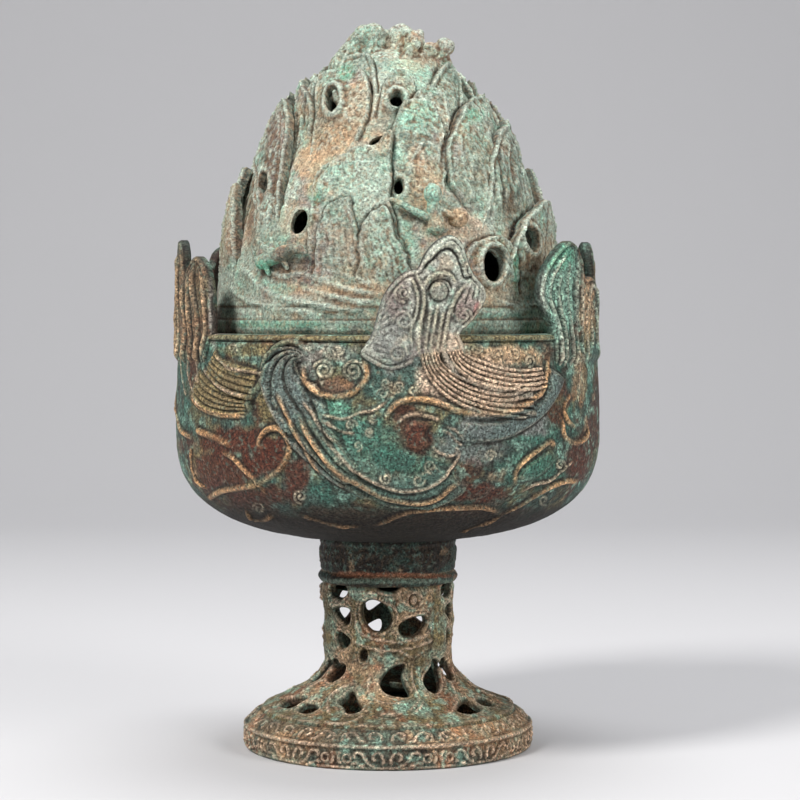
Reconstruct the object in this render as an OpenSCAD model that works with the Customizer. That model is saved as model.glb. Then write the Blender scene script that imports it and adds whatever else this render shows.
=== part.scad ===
// Bronze hill censer: an openwork dragon foot, a round bowl with wave crests, and a lid of
// overlapping mountain peaks that lets the smoke out.
// Units are millimetres. Z is up, the foot stands on Z = 0 and the front faces -Y.

/* [Foot ring] */
// Diameter of the foot's upright rim
foot_d = 111; // [100:1:124]
// Height of the upright rim
foot_rim_h = 9.2; // [8:0.2:12]
// Width of the sloping band inside the rim, seen from above
foot_slope_w = 6; // [4.5:0.5:8]
// Rise of the sloping band
foot_slope_h = 5.1; // [4:0.1:7]
// Wall of the foot ring
foot_wall = 3; // [2.4:0.1:3.6]
// Diameter of the bead along the rim's top edge
foot_bead_d = 2.2; // [1.2:0.1:3]

/* [Openwork stem] */
// Diameter of the stem at its waist
stem_d = 48.2; // [44:0.2:54]
// Diameter of the stem under the collar
stem_top_d = 50; // [46:0.2:56]
// Height of the stem above the foot ring
stem_h = 49.8; // [46:0.2:58]
// Height over which the stem flares out to the foot
stem_flare_h = 19.7; // [17:0.1:23]
// Wall of the stem
stem_wall = 2.6; // [2.2:0.1:3.6]
// Plate that closes the stem's top and takes the rivet
stem_web_t = 2.4; // [1.8:0.1:3.4]
// Repeats of the dragon pattern round the stem
dragon_count = 3; // [3:1:4]

/* [Collar and rivet] */
// How far the collar stands out past the stem's top
collar_lip = 1.3; // [0.6:0.1:2.4]
// Height of the collar
collar_h = 17.4; // [14:0.2:22]
// Wall of the collar
collar_wall = 4; // [3:0.1:5]
// Diameter of the bead round the collar's lower edge
collar_bead_d = 4; // [2.6:0.1:5]
// Diameter of the rivet's shank
rivet_d = 8; // [6:0.1:10]
// Gap round the shank in its holes
rivet_gap = 0.1; // [0.05:0.01:0.3]
// Diameter of the rivet's domed head inside the bowl
rivet_head_d = 22; // [16:0.5:28]
// Height of the rivet's domed head
rivet_head_h = 5; // [3:0.1:7]
// Diameter of the washer under the stem's top plate
washer_d = 22; // [16:0.5:28]
// Thickness of the washer
washer_t = 2; // [1.2:0.1:3]
// Diameter of the hammered tail under the washer
rivet_tail_d = 14; // [12:0.2:15]
// Height of the hammered tail
rivet_tail_h = 4; // [2:0.1:6]

/* [Bowl] */
// Greatest diameter of the bowl
bowl_d = 164; // [154:1:176]
// Diameter of the bowl at its rim
bowl_top_d = 161; // [154:1:170]
// Height of the bowl from its flat base to the lid's seat
bowl_h = 79.1; // [70:0.1:90]
// Height of the widest level above the base
bowl_belly_h = 42.6; // [38:0.2:48]
// Squareness of the curve under the belly
bowl_square = 2.72; // [2.3:0.02:3.1]
// Wall of the bowl
bowl_wall = 1.5; // [1.2:0.1:2.4]
// Thickness of the bowl's floor
bowl_floor_t = 2.6; // [2:0.1:4]
// Diameter of the mouth inside the lip
mouth_d = 120; // [110:1:128]
// Thickness of the upright lip
lip_t = 2.5; // [1.8:0.1:3.2]
// Height of the lip above the lid's seat
lip_h = 6; // [4:0.2:8]
// Height of the raised band under the rim
rim_band_h = 3.8; // [2:0.1:6]
// How far the raised band stands out
rim_band_t = 0.6; // [0.3:0.1:1.2]
// How far the cast waves stand out of the bowl's wall
wave_t = 1; // [0.6:0.1:1.4]

/* [Wave crests] */
// Thickness of the crests that stand on the bowl's rim
crest_t = 3.6; // [2.6:0.1:5]
// Height of the tallest lobe of a crest
crest_h = 37; // [28:0.5:44]
// Width of a crest at the rim
crest_w = 42; // [34:0.5:46]

/* [Lid] */
// Gap between the lid's socket and the bowl's lip
lid_play = 0.7; // [0.4:0.05:1.2]
// Width of the lid's flat rim
lid_rim_w = 4.3; // [3.4:0.1:5.4]
// Height of the plain bands above the rim
lid_band_h = 11.5; // [9:0.1:15]
// Setback of the mountain behind the bands
lid_band_step = 0.9; // [0.4:0.1:1.6]
// Height of the mountain from the bands to where its curve would close
mountain_h = 106; // [92:1:120]
// Share of that height at which the summit block stands
summit_cut = 0.87; // [0.84:0.01:0.9]
// Wall of the lid
lid_wall = 1.5; // [1.2:0.1:2.2]
// How far the tips of the peaks stand out of the mountain
peak_out = 7; // [5:0.1:9]
// Thickness of a peak at its free tip
peak_t = 2.2; // [1.6:0.1:3]
// How much the middle of a peak swells
peak_swell = 1.8; // [1:0.1:2.6]
// Diameter of a plain round smoke hole
smoke_d = 5.8; // [4:0.1:7]
// Height of the lip round a smoke hole
smoke_lip = 1.6; // [0.8:0.1:2.4]

/* [Figures] */
// Height of the summit block's tallest lobe
summit_h = 15.8; // [12:0.1:20]
// Diameter of the small figures' heads
head_d = 7; // [5:0.1:9]
// How deep the cast-on figures are keyed into the lid
figure_key = 1; // [0.6:0.1:1.2]

/* [Hidden] */
$fn = 96;

bronze_dark = [0.30, 0.33, 0.28];
bronze_green = [0.36, 0.47, 0.40];
bronze_tan = [0.52, 0.44, 0.33];
iron = [0.33, 0.31, 0.30];

foot_r = foot_d / 2;
stem_foot_r = foot_r - foot_slope_w;
stem_waist_r = stem_d / 2;
stem_top_r = stem_top_d / 2;
flare_w = stem_foot_r - stem_waist_r;
// The stem's foot drops into a rebate of the foot ring, with a gap at its side.
rebate_gap = 0.1;
rebate_w = foot_wall + rebate_gap;
foot_top_z = foot_rim_h + foot_slope_h;
rebate_z = foot_top_z - foot_wall;
stem_top_z = foot_top_z + stem_h;
collar_r = stem_top_r + collar_lip;
bowl_z = stem_top_z + collar_h;
rivet_hole_r = rivet_d / 2 + rivet_gap;

bowl_r = bowl_d / 2;
bowl_top_r = bowl_top_d / 2;
belly_z = bowl_z + bowl_belly_h;
seat_z = bowl_z + bowl_h;
lip_r = mouth_d / 2 + lip_t;
// The flat that the rivet's head rests on is a little wider than the head.
floor_flat_r = rivet_head_d / 2 + 2;

lid_socket_r = lip_r + lid_play;
lid_rim_r = lid_socket_r + lid_rim_w;
mountain_r = lid_rim_r - lid_band_step;
mountain_z = seat_z + lid_band_h;
summit_z = mountain_z + mountain_h * summit_cut;
smoke_k = smoke_d / 5.8;

// Point at an azimuth from the front, a distance from the axis and a height.
function at(az, r, z) = [r * sin(az), -r * cos(az), z];

// A superellipse arc from the widest level down to a given radius.
function belly_arc(r, h, r_end, steps) =
    let (a_end = acos(pow(r_end / r, bowl_square / 2)),
         b = h / pow(sin(a_end), 2 / bowl_square))
    [for (i = [0:steps])
        let (a = a_end * i / steps)
        [r * pow(cos(a), 2 / bowl_square), -b * pow(sin(a), 2 / bowl_square)]];

function reversed(list) = [for (i = [len(list) - 1:-1:0]) list[i]];

// The stem's flare: v runs from 0 at the waist to 1 at the foot, d is a depth under the skin.
function flare_point(v, d) =
    let (n = norm([stem_flare_h, 2 * flare_w * v]))
    [stem_waist_r + flare_w * v * v - d * stem_flare_h / n,
     foot_top_z + stem_flare_h * (1 - v) - d * 2 * flare_w * v / n];

// The mountain's radius at a share of its height, for the skin of a given foot radius.
function mountain_at(t, r) = r * pow(1 - pow(t, 1.5), 0.75);

// A closed outline with soft corners: half width, half height, lobes and how deep they are, turned.
function window_outline(w, h, lobes, depth, turn) =
    [for (i = [0:17])
        let (a = i * 20,
             k = 1 + depth * cos(lobes * a - 90),
             x = w * k * cos(a),
             y = h * k * sin(a))
        [x * cos(turn) - y * sin(turn), x * sin(turn) + y * cos(turn)]];

// A flame-like lobe that stands on the rim: centre, half width, height and how far its tip leans.
function lobe_outline(c, w, h, lean) =
    let (side = [for (i = [0:9])
            let (t = sin(i * 10))
            [w * pow(1 - pow(t, 2.4), 0.62), h * t, c + lean * t * t]])
    concat([for (p = side) [p[2] + p[0], p[1]]],
           [[c + lean, h]],
           [for (p = reversed(side)) [p[2] - p[0], p[1]]]);

module foot_ring() {
    top_in = stem_foot_r + rebate_gap;
    under_w = top_in - rebate_w;
    color(bronze_tan)
    rotate_extrude()
    union() {
        polygon([
            [foot_r - foot_wall, 0], [foot_r, 0], [foot_r, foot_rim_h], [top_in, foot_top_z],
            [top_in, rebate_z], [under_w, rebate_z], [under_w, rebate_z - foot_wall],
            [foot_r - foot_wall, foot_rim_h - foot_wall]
        ]);
        translate([foot_r - foot_bead_d / 2 + 0.35, foot_rim_h - foot_bead_d / 4])
        circle(d = foot_bead_d, $fn = 32);
    }
}

// Windows of one dragon's span: azimuth, height over the foot ring, half width, half height,
// lobes, their depth and the turn. They are drawn for a stem of the waist, height and flare that
// follow, and stretch with it; heights on the flare follow the flare.
window_ref_d = 48.2;
window_ref_h = 49.8;
window_ref_flare = 19.7;
windows = [
    [-50, 45.2, 3.9, 3.5, 2, 0.06, 20],
    [1, 46.6, 5.0, 1.9, 2, 0.05, 0],
    [-11, 38.3, 6.2, 5.9, 3, 0.05, 20],
    [23, 34.7, 5.8, 4.9, 3, 0.06, 12],
    [-41, 37.2, 2.3, 4.6, 2, 0.05, 28],
    [-46, 27.6, 4.4, 4.6, 3, 0.16, 25],
    [-23, 23.6, 1.9, 2.4, 2, 0.05, 0],
    [-55, 16.0, 4.8, 4.0, 3, 0.14, -30],
    [5, 14.0, 6.1, 6.0, 3, 0.10, 25],
    [40, 15.0, 4.6, 6.2, 2, 0.08, -14],
    [62, 27.0, 2.8, 3.4, 2, 0.06, -20],
    [-25, 7.0, 5.2, 4.3, 3, 0.16, -20],
    [-50, 4.4, 4.8, 2.2, 3, 0.12, 0],
    [50, 5.0, 6.2, 3.2, 3, 0.16, 0]
];

module dragon_stem() {
    span = 360 / dragon_count;
    k_az = span / 120;
    k_w = k_az * stem_d / window_ref_d;
    k_h = stem_h / window_ref_h;
    flare = [for (i = [0:10]) flare_point(i / 10, 0)];
    under = [for (i = [0:8]) flare_point(i / 10, stem_wall)];
    foot_edge = stem_foot_r;
    flange_in = foot_edge - rebate_w + rebate_gap;
    // The cuts start just inside the wall, so they leave the top plate whole.
    cut_in = stem_waist_r - 1.23 * stem_wall;
    k_flare = stem_flare_h / window_ref_flare;
    color(bronze_green)
    difference() {
        rotate_extrude()
        polygon(concat(
            [[rivet_hole_r, stem_top_z - stem_web_t], [rivet_hole_r, stem_top_z],
             [stem_top_r, stem_top_z]],
            flare,
            [[foot_edge, rebate_z], [flange_in, rebate_z]],
            reversed(under),
            [[stem_top_r - stem_wall, stem_top_z - stem_web_t]]
        ));
        for (s = [0:dragon_count - 1])
        for (w = windows)
        rotate([90, 0, s * span + w[0] * k_az])
        translate([0, foot_top_z + w[1] * (w[1] < window_ref_flare ? k_flare : k_h), cut_in])
        linear_extrude(height = foot_r)
        polygon(window_outline(w[2] * k_w, w[3] * k_h, w[4], w[5], w[6]));
    }
}

module stem_collar() {
    in_r = collar_r - collar_wall;
    color(bronze_dark)
    rotate_extrude()
    difference() {
        union() {
            translate([in_r, stem_top_z])
            square([collar_wall, collar_h]);
            translate([collar_r - collar_bead_d * 0.36, stem_top_z + collar_bead_d / 2])
            circle(d = collar_bead_d, $fn = 40);
        }
        translate([0, stem_top_z - 1])
        square([in_r, collar_h + 2]);
    }
}

module rivet_washer() {
    z = stem_top_z - stem_web_t - washer_t;
    color(bronze_dark)
    difference() {
        translate([0, 0, z])
        cylinder(d = washer_d, h = washer_t);
        translate([0, 0, z - 1])
        cylinder(r = rivet_hole_r, h = washer_t + 2);
    }
}

// A dome as a slice of a sphere: its foot radius, its height and where its foot lies.
module dome(r, h, z, up) {
    ball = (r * r + h * h) / (2 * h);
    translate([0, 0, z])
    mirror([0, 0, up ? 0 : 1])
    intersection() {
        translate([0, 0, h - ball])
        sphere(r = ball);
        cylinder(r = r + 1, h = h + 1);
    }
}

module rivet() {
    floor_z = bowl_z + bowl_floor_t;
    tail_z = stem_top_z - stem_web_t - washer_t;
    color(iron)
    union() {
        translate([0, 0, tail_z - 0.5])
        cylinder(d = rivet_d, h = floor_z - tail_z + 1);
        dome(rivet_head_d / 2, rivet_head_h, floor_z, true);
        dome(rivet_tail_d / 2, rivet_tail_h, tail_z, false);
    }
}

// Waves cast on the bowl's front and again at its back: width, then points of the middle line, across
// and up from the base. They are drawn for a bowl of the diameter and height that follow.
wave_ref_d = 164;
wave_ref_h = 79.1;
waves = [
    [8, [[15, 74], [18, 67], [26, 60], [37, 56], [49, 58], [61, 65]]],
    [4.6, [[25, 74], [28, 69], [36, 65], [45, 65], [53, 69]]],
    [4.2, [[-48, 50], [-46, 59], [-43, 66], [-39, 73], [-34, 74], [-30, 70]]],
    [7, [[-68, 71], [-63, 64], [-55, 58], [-50, 52]]],
    [5, [[-32, 56], [-23, 42], [-9, 28], [5, 23], [18, 26], [25, 34]]],
    [3, [[-67, 16], [-48, 26], [-38, 36], [-38, 44], [-44, 46], [-47, 42]]],
    [3, [[8, 16], [30, 19], [46, 17], [62, 24], [72, 26]]],
    [2.8, [[-30, 69], [-28, 61], [-20, 57], [-12, 60], [-8, 66]]],
    [2.8, [[0, 47], [2, 54], [10, 55.5], [24, 53]]],
    [2.8, [[29, 37], [36, 43], [47, 47], [56, 44]]]
];

// A smooth line through points, with n steps between each two.
function smooth(p, n) = concat(
    [for (i = [0:len(p) - 2]) for (k = [0:n - 1])
        let (a = p[max(0, i - 1)],
             b = p[i],
             c = p[i + 1],
             d = p[min(len(p) - 1, i + 2)],
             t = k / n)
        b + (c - a) * t / 2 + (2 * a - 5 * b + 4 * c - d) * t * t / 2 + (3 * b - a - 3 * c + d) * t * t * t / 2],
    [p[len(p) - 1]]);

// The outline of a strip along a line, narrowing to its ends.
function strip(line, w) =
    let (n = len(line) - 1,
         side = [for (i = [0:n])
             let (d = line[min(n, i + 1)] - line[max(0, i - 1)],
                  k = w / 2 * pow(sin(180 * (0.05 + 0.9 * i / n)), 0.5) / norm(d))
             [-d[1] * k, d[0] * k]])
    concat([for (i = [0:n]) line[i] + side[i]], [for (i = [n:-1:0]) line[i] - side[i]]);

// The waves: strips cut through a layer that stands out of the bowl's wall and is keyed into it.
module bowl_waves(base_r) {
    key = bowl_wall / 2;
    out_r = bowl_r + wave_t;
    in_r = bowl_r - key;
    mid_z = (belly_z + seat_z) / 2;
    top_z = seat_z - rim_band_h;
    draw_mid = (bowl_r - bowl_top_r) / 4;
    draw_top = bowl_r - bowl_top_r;
    k_x = bowl_d / wave_ref_d;
    k_z = bowl_h / wave_ref_h;
    intersection() {
        rotate_extrude()
        polygon(concat(
            [for (p = reversed(belly_arc(out_r, bowl_belly_h + wave_t, base_r, 12))) [p[0], belly_z + p[1]]],
            [[out_r - draw_mid, mid_z], [out_r - draw_top, top_z], [in_r - draw_top, top_z],
             [in_r - draw_mid, mid_z]],
            [for (p = belly_arc(in_r, bowl_belly_h - key, base_r, 12)) [p[0], belly_z + p[1]]]
        ));
        for (turn = [0, 180])
        for (w = waves)
        rotate([90, 0, turn])
        translate([0, bowl_z, 0])
        linear_extrude(height = bowl_r + 2 * wave_t)
        polygon(strip(smooth([for (q = w[1]) [q[0] * k_x, q[1] * k_z]], 3), w[0] * k_z));
    }
}

module bowl() {
    base_r = collar_r + 1;
    in_r = bowl_r - bowl_wall;
    skin = belly_arc(bowl_r, bowl_belly_h, base_r, 16);
    inside = belly_arc(in_r, bowl_belly_h - bowl_floor_t, floor_flat_r, 14);
    // Above the belly the wall draws in gently to the rim.
    draw_in = bowl_r - bowl_top_r;
    above = bowl_h - bowl_belly_h;
    band_z = seat_z - rim_band_h;
    wall_up = [for (i = [1:5])
        let (t = i / 5 * (above - rim_band_h) / above)
        [t, bowl_r - draw_in * t * t]];
    top_in = bowl_top_r - bowl_wall;
    color(bronze_green)
    union() {
        rotate_extrude()
        polygon(concat(
            [[rivet_hole_r, bowl_z + bowl_floor_t], [rivet_hole_r, bowl_z]],
            [for (p = reversed(skin)) [p[0], belly_z + p[1]]],
            [for (p = wall_up) [p[1], belly_z + above * p[0]]],
            [[wall_up[4][1] + rim_band_t, band_z], [bowl_top_r + rim_band_t, seat_z - 1],
             [bowl_top_r - 0.4, seat_z], [lip_r, seat_z], [lip_r, seat_z + lip_h],
             [mouth_d / 2, seat_z + lip_h], [mouth_d / 2, seat_z - bowl_wall],
             [top_in - 2, seat_z - bowl_wall], [top_in, seat_z - bowl_wall - 2]],
            [for (p = reversed(wall_up)) [p[1] - bowl_wall, belly_z + above * p[0] - 2]],
            [for (p = inside) [p[0], belly_z + p[1]]]
        ));
        bowl_waves(base_r);
    }
}

// Crests round the rim, three on the front and the same three half a turn on: azimuth, then for each
// of three lobes its centre, half width, height and lean, as shares of the crest's width and height.
crests = [
    [11, [-0.24, 0.24, 0.64, 0.12], [0.06, 0.28, 0.96, 0.06], [0.22, 0.21, 0.56, 0.16]],
    [67, [-0.28, 0.22, 0.92, 0.04], [0.06, 0.26, 0.58, 0.10], [0.28, 0.20, 0.44, 0.06]],
    [-68, [-0.27, 0.22, 0.98, 0.02], [0.02, 0.26, 0.60, 0.06], [0.28, 0.20, 0.80, 0.04]]
];

module wave_crest(i) {
    c = crests[i % 3];
    turn = c[0] + (i < 3 ? 0 : 180);
    out_r = bowl_top_r - 0.4;
    in_r = out_r - crest_t;
    color(i % 2 == 0 ? bronze_tan : bronze_green)
    intersection() {
        translate([0, 0, seat_z])
        difference() {
            cylinder(r = out_r, h = crest_h + 1);
            translate([0, 0, -1])
            cylinder(r = in_r, h = crest_h + 3);
        }
        for (l = [1:3])
        rotate([90, 0, turn])
        translate([0, seat_z, in_r * 0.7])
        linear_extrude(height = out_r)
        polygon(lobe_outline(c[l][0] * crest_w, c[l][1] * crest_w, c[l][2] * crest_h, c[l][3] * crest_w));
    }
}

module wave_crest_1() { wave_crest(0); }
module wave_crest_2() { wave_crest(1); }
module wave_crest_3() { wave_crest(2); }
module wave_crest_4() { wave_crest(3); }
module wave_crest_5() { wave_crest(4); }
module wave_crest_6() { wave_crest(5); }

// Peaks of half the lid, repeated half a turn on: azimuth of the foot, share of the height up to the
// summit block at foot and tip, half width in degrees, how far round the tip leans in degrees, and how
// much of peak_out it has.
peaks = [
    [-21, 0.77, 0.98, 17, -6, 0.5], [5, 0.66, 0.93, 14, 4, 0.45], [38, 0.66, 0.97, 17, 22, 0.6],
    [19, 0.56, 0.86, 13, 8, 0.5], [-27, 0.52, 0.92, 17, -4, 0.55], [-44, 0.50, 0.89, 10, -20, 0.7],
    [41, 0.50, 0.82, 12, 16, 0.7], [9, 0.27, 0.80, 15, 6, 0.65], [-48, 0.25, 0.83, 12, -20, 0.95],
    [51, 0.22, 0.72, 16, 22, 0.85], [32, 0.18, 0.79, 15, 14, 0.75], [-14, 0.02, 0.66, 26, 12, 0.8],
    [-46, 0.03, 0.54, 12, -14, 0.75], [-14, 0.02, 0.35, 10, -1, 0.9], [0, 0.02, 0.36, 11, -1, 0.85],
    [62, 0.02, 0.39, 20, 14, 0.8], [34, 0.02, 0.27, 14, 4, 0.65], [-92, 0.06, 0.54, 16, 6, 0.95],
    [-72, 0.04, 0.45, 11, -4, 0.95], [-84, 0.37, 0.83, 15, -2, 0.85], [84, 0.26, 0.71, 13, -5, 0.85],
    [70, 0.54, 0.82, 12, 3, 0.65], [92, 0.61, 0.94, 16, 0, 0.55]
];

// One peak: a leaf that follows the mountain, swells in its middle and stands out at its tip.
module peak(p) {
    nu = 4;
    nv = 3;
    key = lid_wall / 2;
    grid = [for (j = [0:nv]) for (i = [0:nu])
        let (v = j / nv,
             u = 2 * i / nu - 1,
             t = summit_cut * (p[1] + (p[2] - p[1]) * sin(90 * v)),
             w = p[3] * max(0.10, pow(1 - pow(v, 2.2), 0.75)),
             skin = mountain_at(t, mountain_r),
             out = skin + p[5] * peak_out * pow(v, 1.3) - key * (1 - v) * u * u
                 + peak_swell * (1 - u * u) * (1 - 0.6 * v),
             free = pow(max(0, (v - 0.4) / 0.6), 1.5))
        [p[0] + p[4] * v * v + w * u, mountain_z + mountain_h * t, out,
         (skin - key) * (1 - free) + max(skin - key, out - peak_t) * free]];
    front = [for (g = grid) at(g[0], g[2], g[1])];
    back = [for (g = grid) at(g[0], g[3], g[1])];
    m = (nu + 1) * (nv + 1);
    row = nu + 1;
    faces = concat(
        [for (j = [0:nv - 1]) for (i = [0:nu - 1]) [j * row + i, (j + 1) * row + i, j * row + i + 1]],
        [for (j = [0:nv - 1]) for (i = [0:nu - 1])
            [j * row + i + 1, (j + 1) * row + i, (j + 1) * row + i + 1]],
        [for (j = [0:nv - 1]) for (i = [0:nu - 1])
            [m + j * row + i, m + j * row + i + 1, m + (j + 1) * row + i]],
        [for (j = [0:nv - 1]) for (i = [0:nu - 1])
            [m + j * row + i + 1, m + (j + 1) * row + i + 1, m + (j + 1) * row + i]],
        [for (i = [0:nu - 1]) [i, i + 1, m + i]],
        [for (i = [0:nu - 1]) [i + 1, m + i + 1, m + i]],
        [for (i = [0:nu - 1]) [nv * row + i, m + nv * row + i, nv * row + i + 1]],
        [for (i = [0:nu - 1]) [nv * row + i + 1, m + nv * row + i, m + nv * row + i + 1]],
        [for (j = [0:nv - 1]) [j * row, m + j * row, (j + 1) * row]],
        [for (j = [0:nv - 1]) [(j + 1) * row, m + j * row, m + (j + 1) * row]],
        [for (j = [0:nv - 1]) [j * row + nu, (j + 1) * row + nu, m + j * row + nu]],
        [for (j = [0:nv - 1]) [(j + 1) * row + nu, m + (j + 1) * row + nu, m + j * row + nu]]
    );
    polyhedron(points = concat(front, back), faces = faces, convexity = 4);
}

// Smoke holes of half the lid, repeated half a turn on: azimuth, share of the height, width, height
// and tilt.
smoke_holes = [
    [-38.7, 0.705, 5.2, 9.2, -8], [6.1, 0.71, 5.8, 5.8, 0], [-5.4, 0.563, 6.5, 3.0, 25],
    [4.7, 0.40, 4.0, 6.2, 0], [-34.7, 0.281, 6.4, 10.2, -22], [38.1, 0.132, 10.2, 13.0, 14],
    [59.5, 0.212, 6.2, 9.6, 20], [-64.5, 0.417, 5.4, 8.0, -10], [-50, 0.594, 3.4, 4.4, 0]
];

function oval(w, h, n) = [for (i = [0:n - 1]) [w / 2 * cos(i * 360 / n), h / 2 * sin(i * 360 / n)]];

// The lip cast round a smoke hole: a low boss with sloping sides.
module smoke_boss(h) {
    skin = mountain_at(h[1], mountain_r);
    hull() {
        translate([0, 0, skin - lid_wall / 2])
        linear_extrude(height = lid_wall / 4)
        polygon(oval(smoke_k * h[2] + 4 * smoke_lip, smoke_k * h[3] + 4 * smoke_lip, 12));
        translate([0, 0, skin])
        linear_extrude(height = smoke_lip)
        polygon(oval(smoke_k * h[2] + 1.6 * smoke_lip, smoke_k * h[3] + 1.6 * smoke_lip, 12));
    }
}

// Stands what follows on the mountain's side at a hole's azimuth, height and tilt.
module at_hole(h) {
    for (turn = [0, 180])
    rotate([90, 0, h[0] + turn])
    translate([0, mountain_z + mountain_h * h[1], 0])
    rotate(-h[4])
    children();
}

module lid() {
    steps = 11;
    in_steps = 6;
    core_r = mountain_r - lid_wall;
    core_h = mountain_h - 1.4 * lid_wall;
    skin = [for (i = [0:steps])
        let (t = summit_cut * i / steps)
        [mountain_at(t, mountain_r), mountain_z + mountain_h * t]];
    inside = [for (i = [0:in_steps])
        let (t = summit_cut * i / in_steps)
        [mountain_at(t, core_r), mountain_z + core_h * t]];
    color(bronze_green)
    difference() {
        union() {
            rotate_extrude($fn = 56)
            polygon(concat(
                [[lid_socket_r, seat_z], [lid_rim_r - 0.8, seat_z], [lid_rim_r, seat_z + 0.8],
                 [lid_rim_r, seat_z + lid_band_h * 0.48], [lid_rim_r - 0.5, seat_z + lid_band_h * 0.52],
                 [lid_rim_r - 0.5, mountain_z - 0.6]],
                skin,
                [[0, summit_z], [0, inside[in_steps][1]]],
                reversed(inside),
                [[lid_socket_r, mountain_z - lid_wall]]
            ));
            for (turn = [0, 180])
            for (p = peaks)
            rotate(turn)
            peak(p);
            for (h = smoke_holes)
            at_hole(h)
            smoke_boss(h);
        }
        for (h = smoke_holes)
        at_hole(h)
        translate([0, 0, mountain_at(h[1], core_r) * 0.5])
        linear_extrude(height = mountain_r)
        polygon(oval(smoke_k * h[2], smoke_k * h[3], 12));
    }
}

// The summit block: its lobes, foot and tip as shares of the block's radius and height, and their
// foot and tip radii as shares of the radius.
summit_lobes = [
    [[-0.46, -0.12, 0.16], [-0.40, -0.06, 0.96], 0.42, 0.19],
    [[0.14, -0.20, 0.22], [0.20, -0.10, 1.00], 0.44, 0.20],
    [[-0.12, 0.42, 0.16], [-0.06, 0.38, 0.88], 0.40, 0.19],
    [[0.58, 0.08, 0.10], [0.94, -0.08, 0.26], 0.36, 0.20]
];

// The summit: curling lobes with two little round beasts, on the block that closes the lid.
module summit() {
    top_r = mountain_at(summit_cut, mountain_r);
    color(bronze_green)
    intersection() {
        union() {
            hull() {
                translate([0, 0, summit_z])
                cylinder(r = top_r * 0.96, h = summit_h * 0.05, $fn = 28);
                translate([0, 0, summit_z + summit_h * 0.34])
                cylinder(r = top_r * 0.62, h = summit_h * 0.05, $fn = 20);
            }
            for (l = summit_lobes)
            hull() {
                translate([l[0][0] * top_r, l[0][1] * top_r, summit_z + summit_h * l[0][2]])
                sphere(r = top_r * l[2], $fn = 14);
                translate([l[1][0] * top_r, l[1][1] * top_r, summit_z + summit_h * l[1][2] - top_r * l[3]])
                sphere(r = top_r * l[3], $fn = 14);
            }
            translate([top_r * 0.54, -top_r * 0.44, summit_z + summit_h * 0.54])
            sphere(d = head_d * 1.3, $fn = 16);
            translate([top_r * 1.12, -top_r * 0.12, summit_z + summit_h * 0.42])
            sphere(d = head_d * 1.1, $fn = 16);
        }
        translate([-foot_r, -foot_r, summit_z])
        cube([2 * foot_r, 2 * foot_r, 2 * summit_h]);
    }
}

// Radius of the axis of a figure's limb of a given thickness, keyed into the swell of a peak.
function limb_r(t, d) = mountain_at(t, mountain_r) + peak_swell + d / 2 - figure_key;

module hunter() {
    t = 0.32;
    z = mountain_z + mountain_h * t;
    r = limb_r(t, head_d * 0.9);
    color(bronze_tan)
    union() {
        hull() {
            translate(at(17, r, z - head_d * 0.7))
            sphere(d = head_d * 0.9, $fn = 14);
            translate(at(15.6, r - 0.6, z + head_d * 0.35))
            sphere(d = head_d * 0.6, $fn = 14);
        }
        translate(at(15.6, r - 0.8, z + head_d * 0.8))
        sphere(d = head_d, $fn = 16);
        hull() {
            translate(at(14, r - 0.6, z))
            sphere(d = head_d * 0.36, $fn = 12);
            translate(at(4, r - 1.2, z + head_d * 0.4))
            sphere(d = head_d * 0.3, $fn = 12);
        }
        hull() {
            translate(at(18, r - 0.6, z - head_d * 0.1))
            sphere(d = head_d * 0.36, $fn = 12);
            translate(at(25, r - 0.6, z - head_d * 0.4))
            sphere(d = head_d * 0.36, $fn = 12);
        }
        translate([0, 0, z - head_d * 0.4])
        rotate([90, 0, 25.5])
        translate([0, 0, r - head_d * 0.3])
        cylinder(d = head_d * 1.1, h = head_d * 0.5, $fn = 20);
    }
}

module beast() {
    t = 0.16;
    z = mountain_z + mountain_h * t;
    r = limb_r(t, head_d * 0.8);
    color(bronze_tan)
    union() {
        hull() {
            translate(at(-44, r - 0.8, z - head_d * 0.3))
            sphere(d = head_d * 0.8, $fn = 14);
            translate(at(-34, r - 0.4, z + head_d * 0.2))
            sphere(d = head_d * 0.8, $fn = 14);
        }
        hull() {
            translate(at(-34, r - 0.2, z + head_d * 0.3))
            sphere(d = head_d * 0.6, $fn = 14);
            translate(at(-27, r + 0.4, z + head_d * 0.25))
            sphere(d = head_d * 0.5, $fn = 14);
        }
        hull() {
            translate(at(-40, r - 0.4, z + head_d * 0.2))
            sphere(d = head_d * 0.36, $fn = 12);
            translate(at(-46, r - 0.2, z + head_d * 0.9))
            sphere(d = head_d * 0.3, $fn = 12);
            translate(at(-38, r - 0.2, z + head_d * 0.8))
            sphere(d = head_d * 0.3, $fn = 12);
        }
    }
}

foot_ring();
dragon_stem();
stem_collar();
rivet_washer();
rivet();
bowl();
wave_crest_1();
wave_crest_2();
wave_crest_3();
wave_crest_4();
wave_crest_5();
wave_crest_6();
lid();
summit();
hunter();
beast();
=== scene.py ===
import math

import bpy
import numpy as np
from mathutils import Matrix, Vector
from mathutils.geometry import delaunay_2d_cdt


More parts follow.
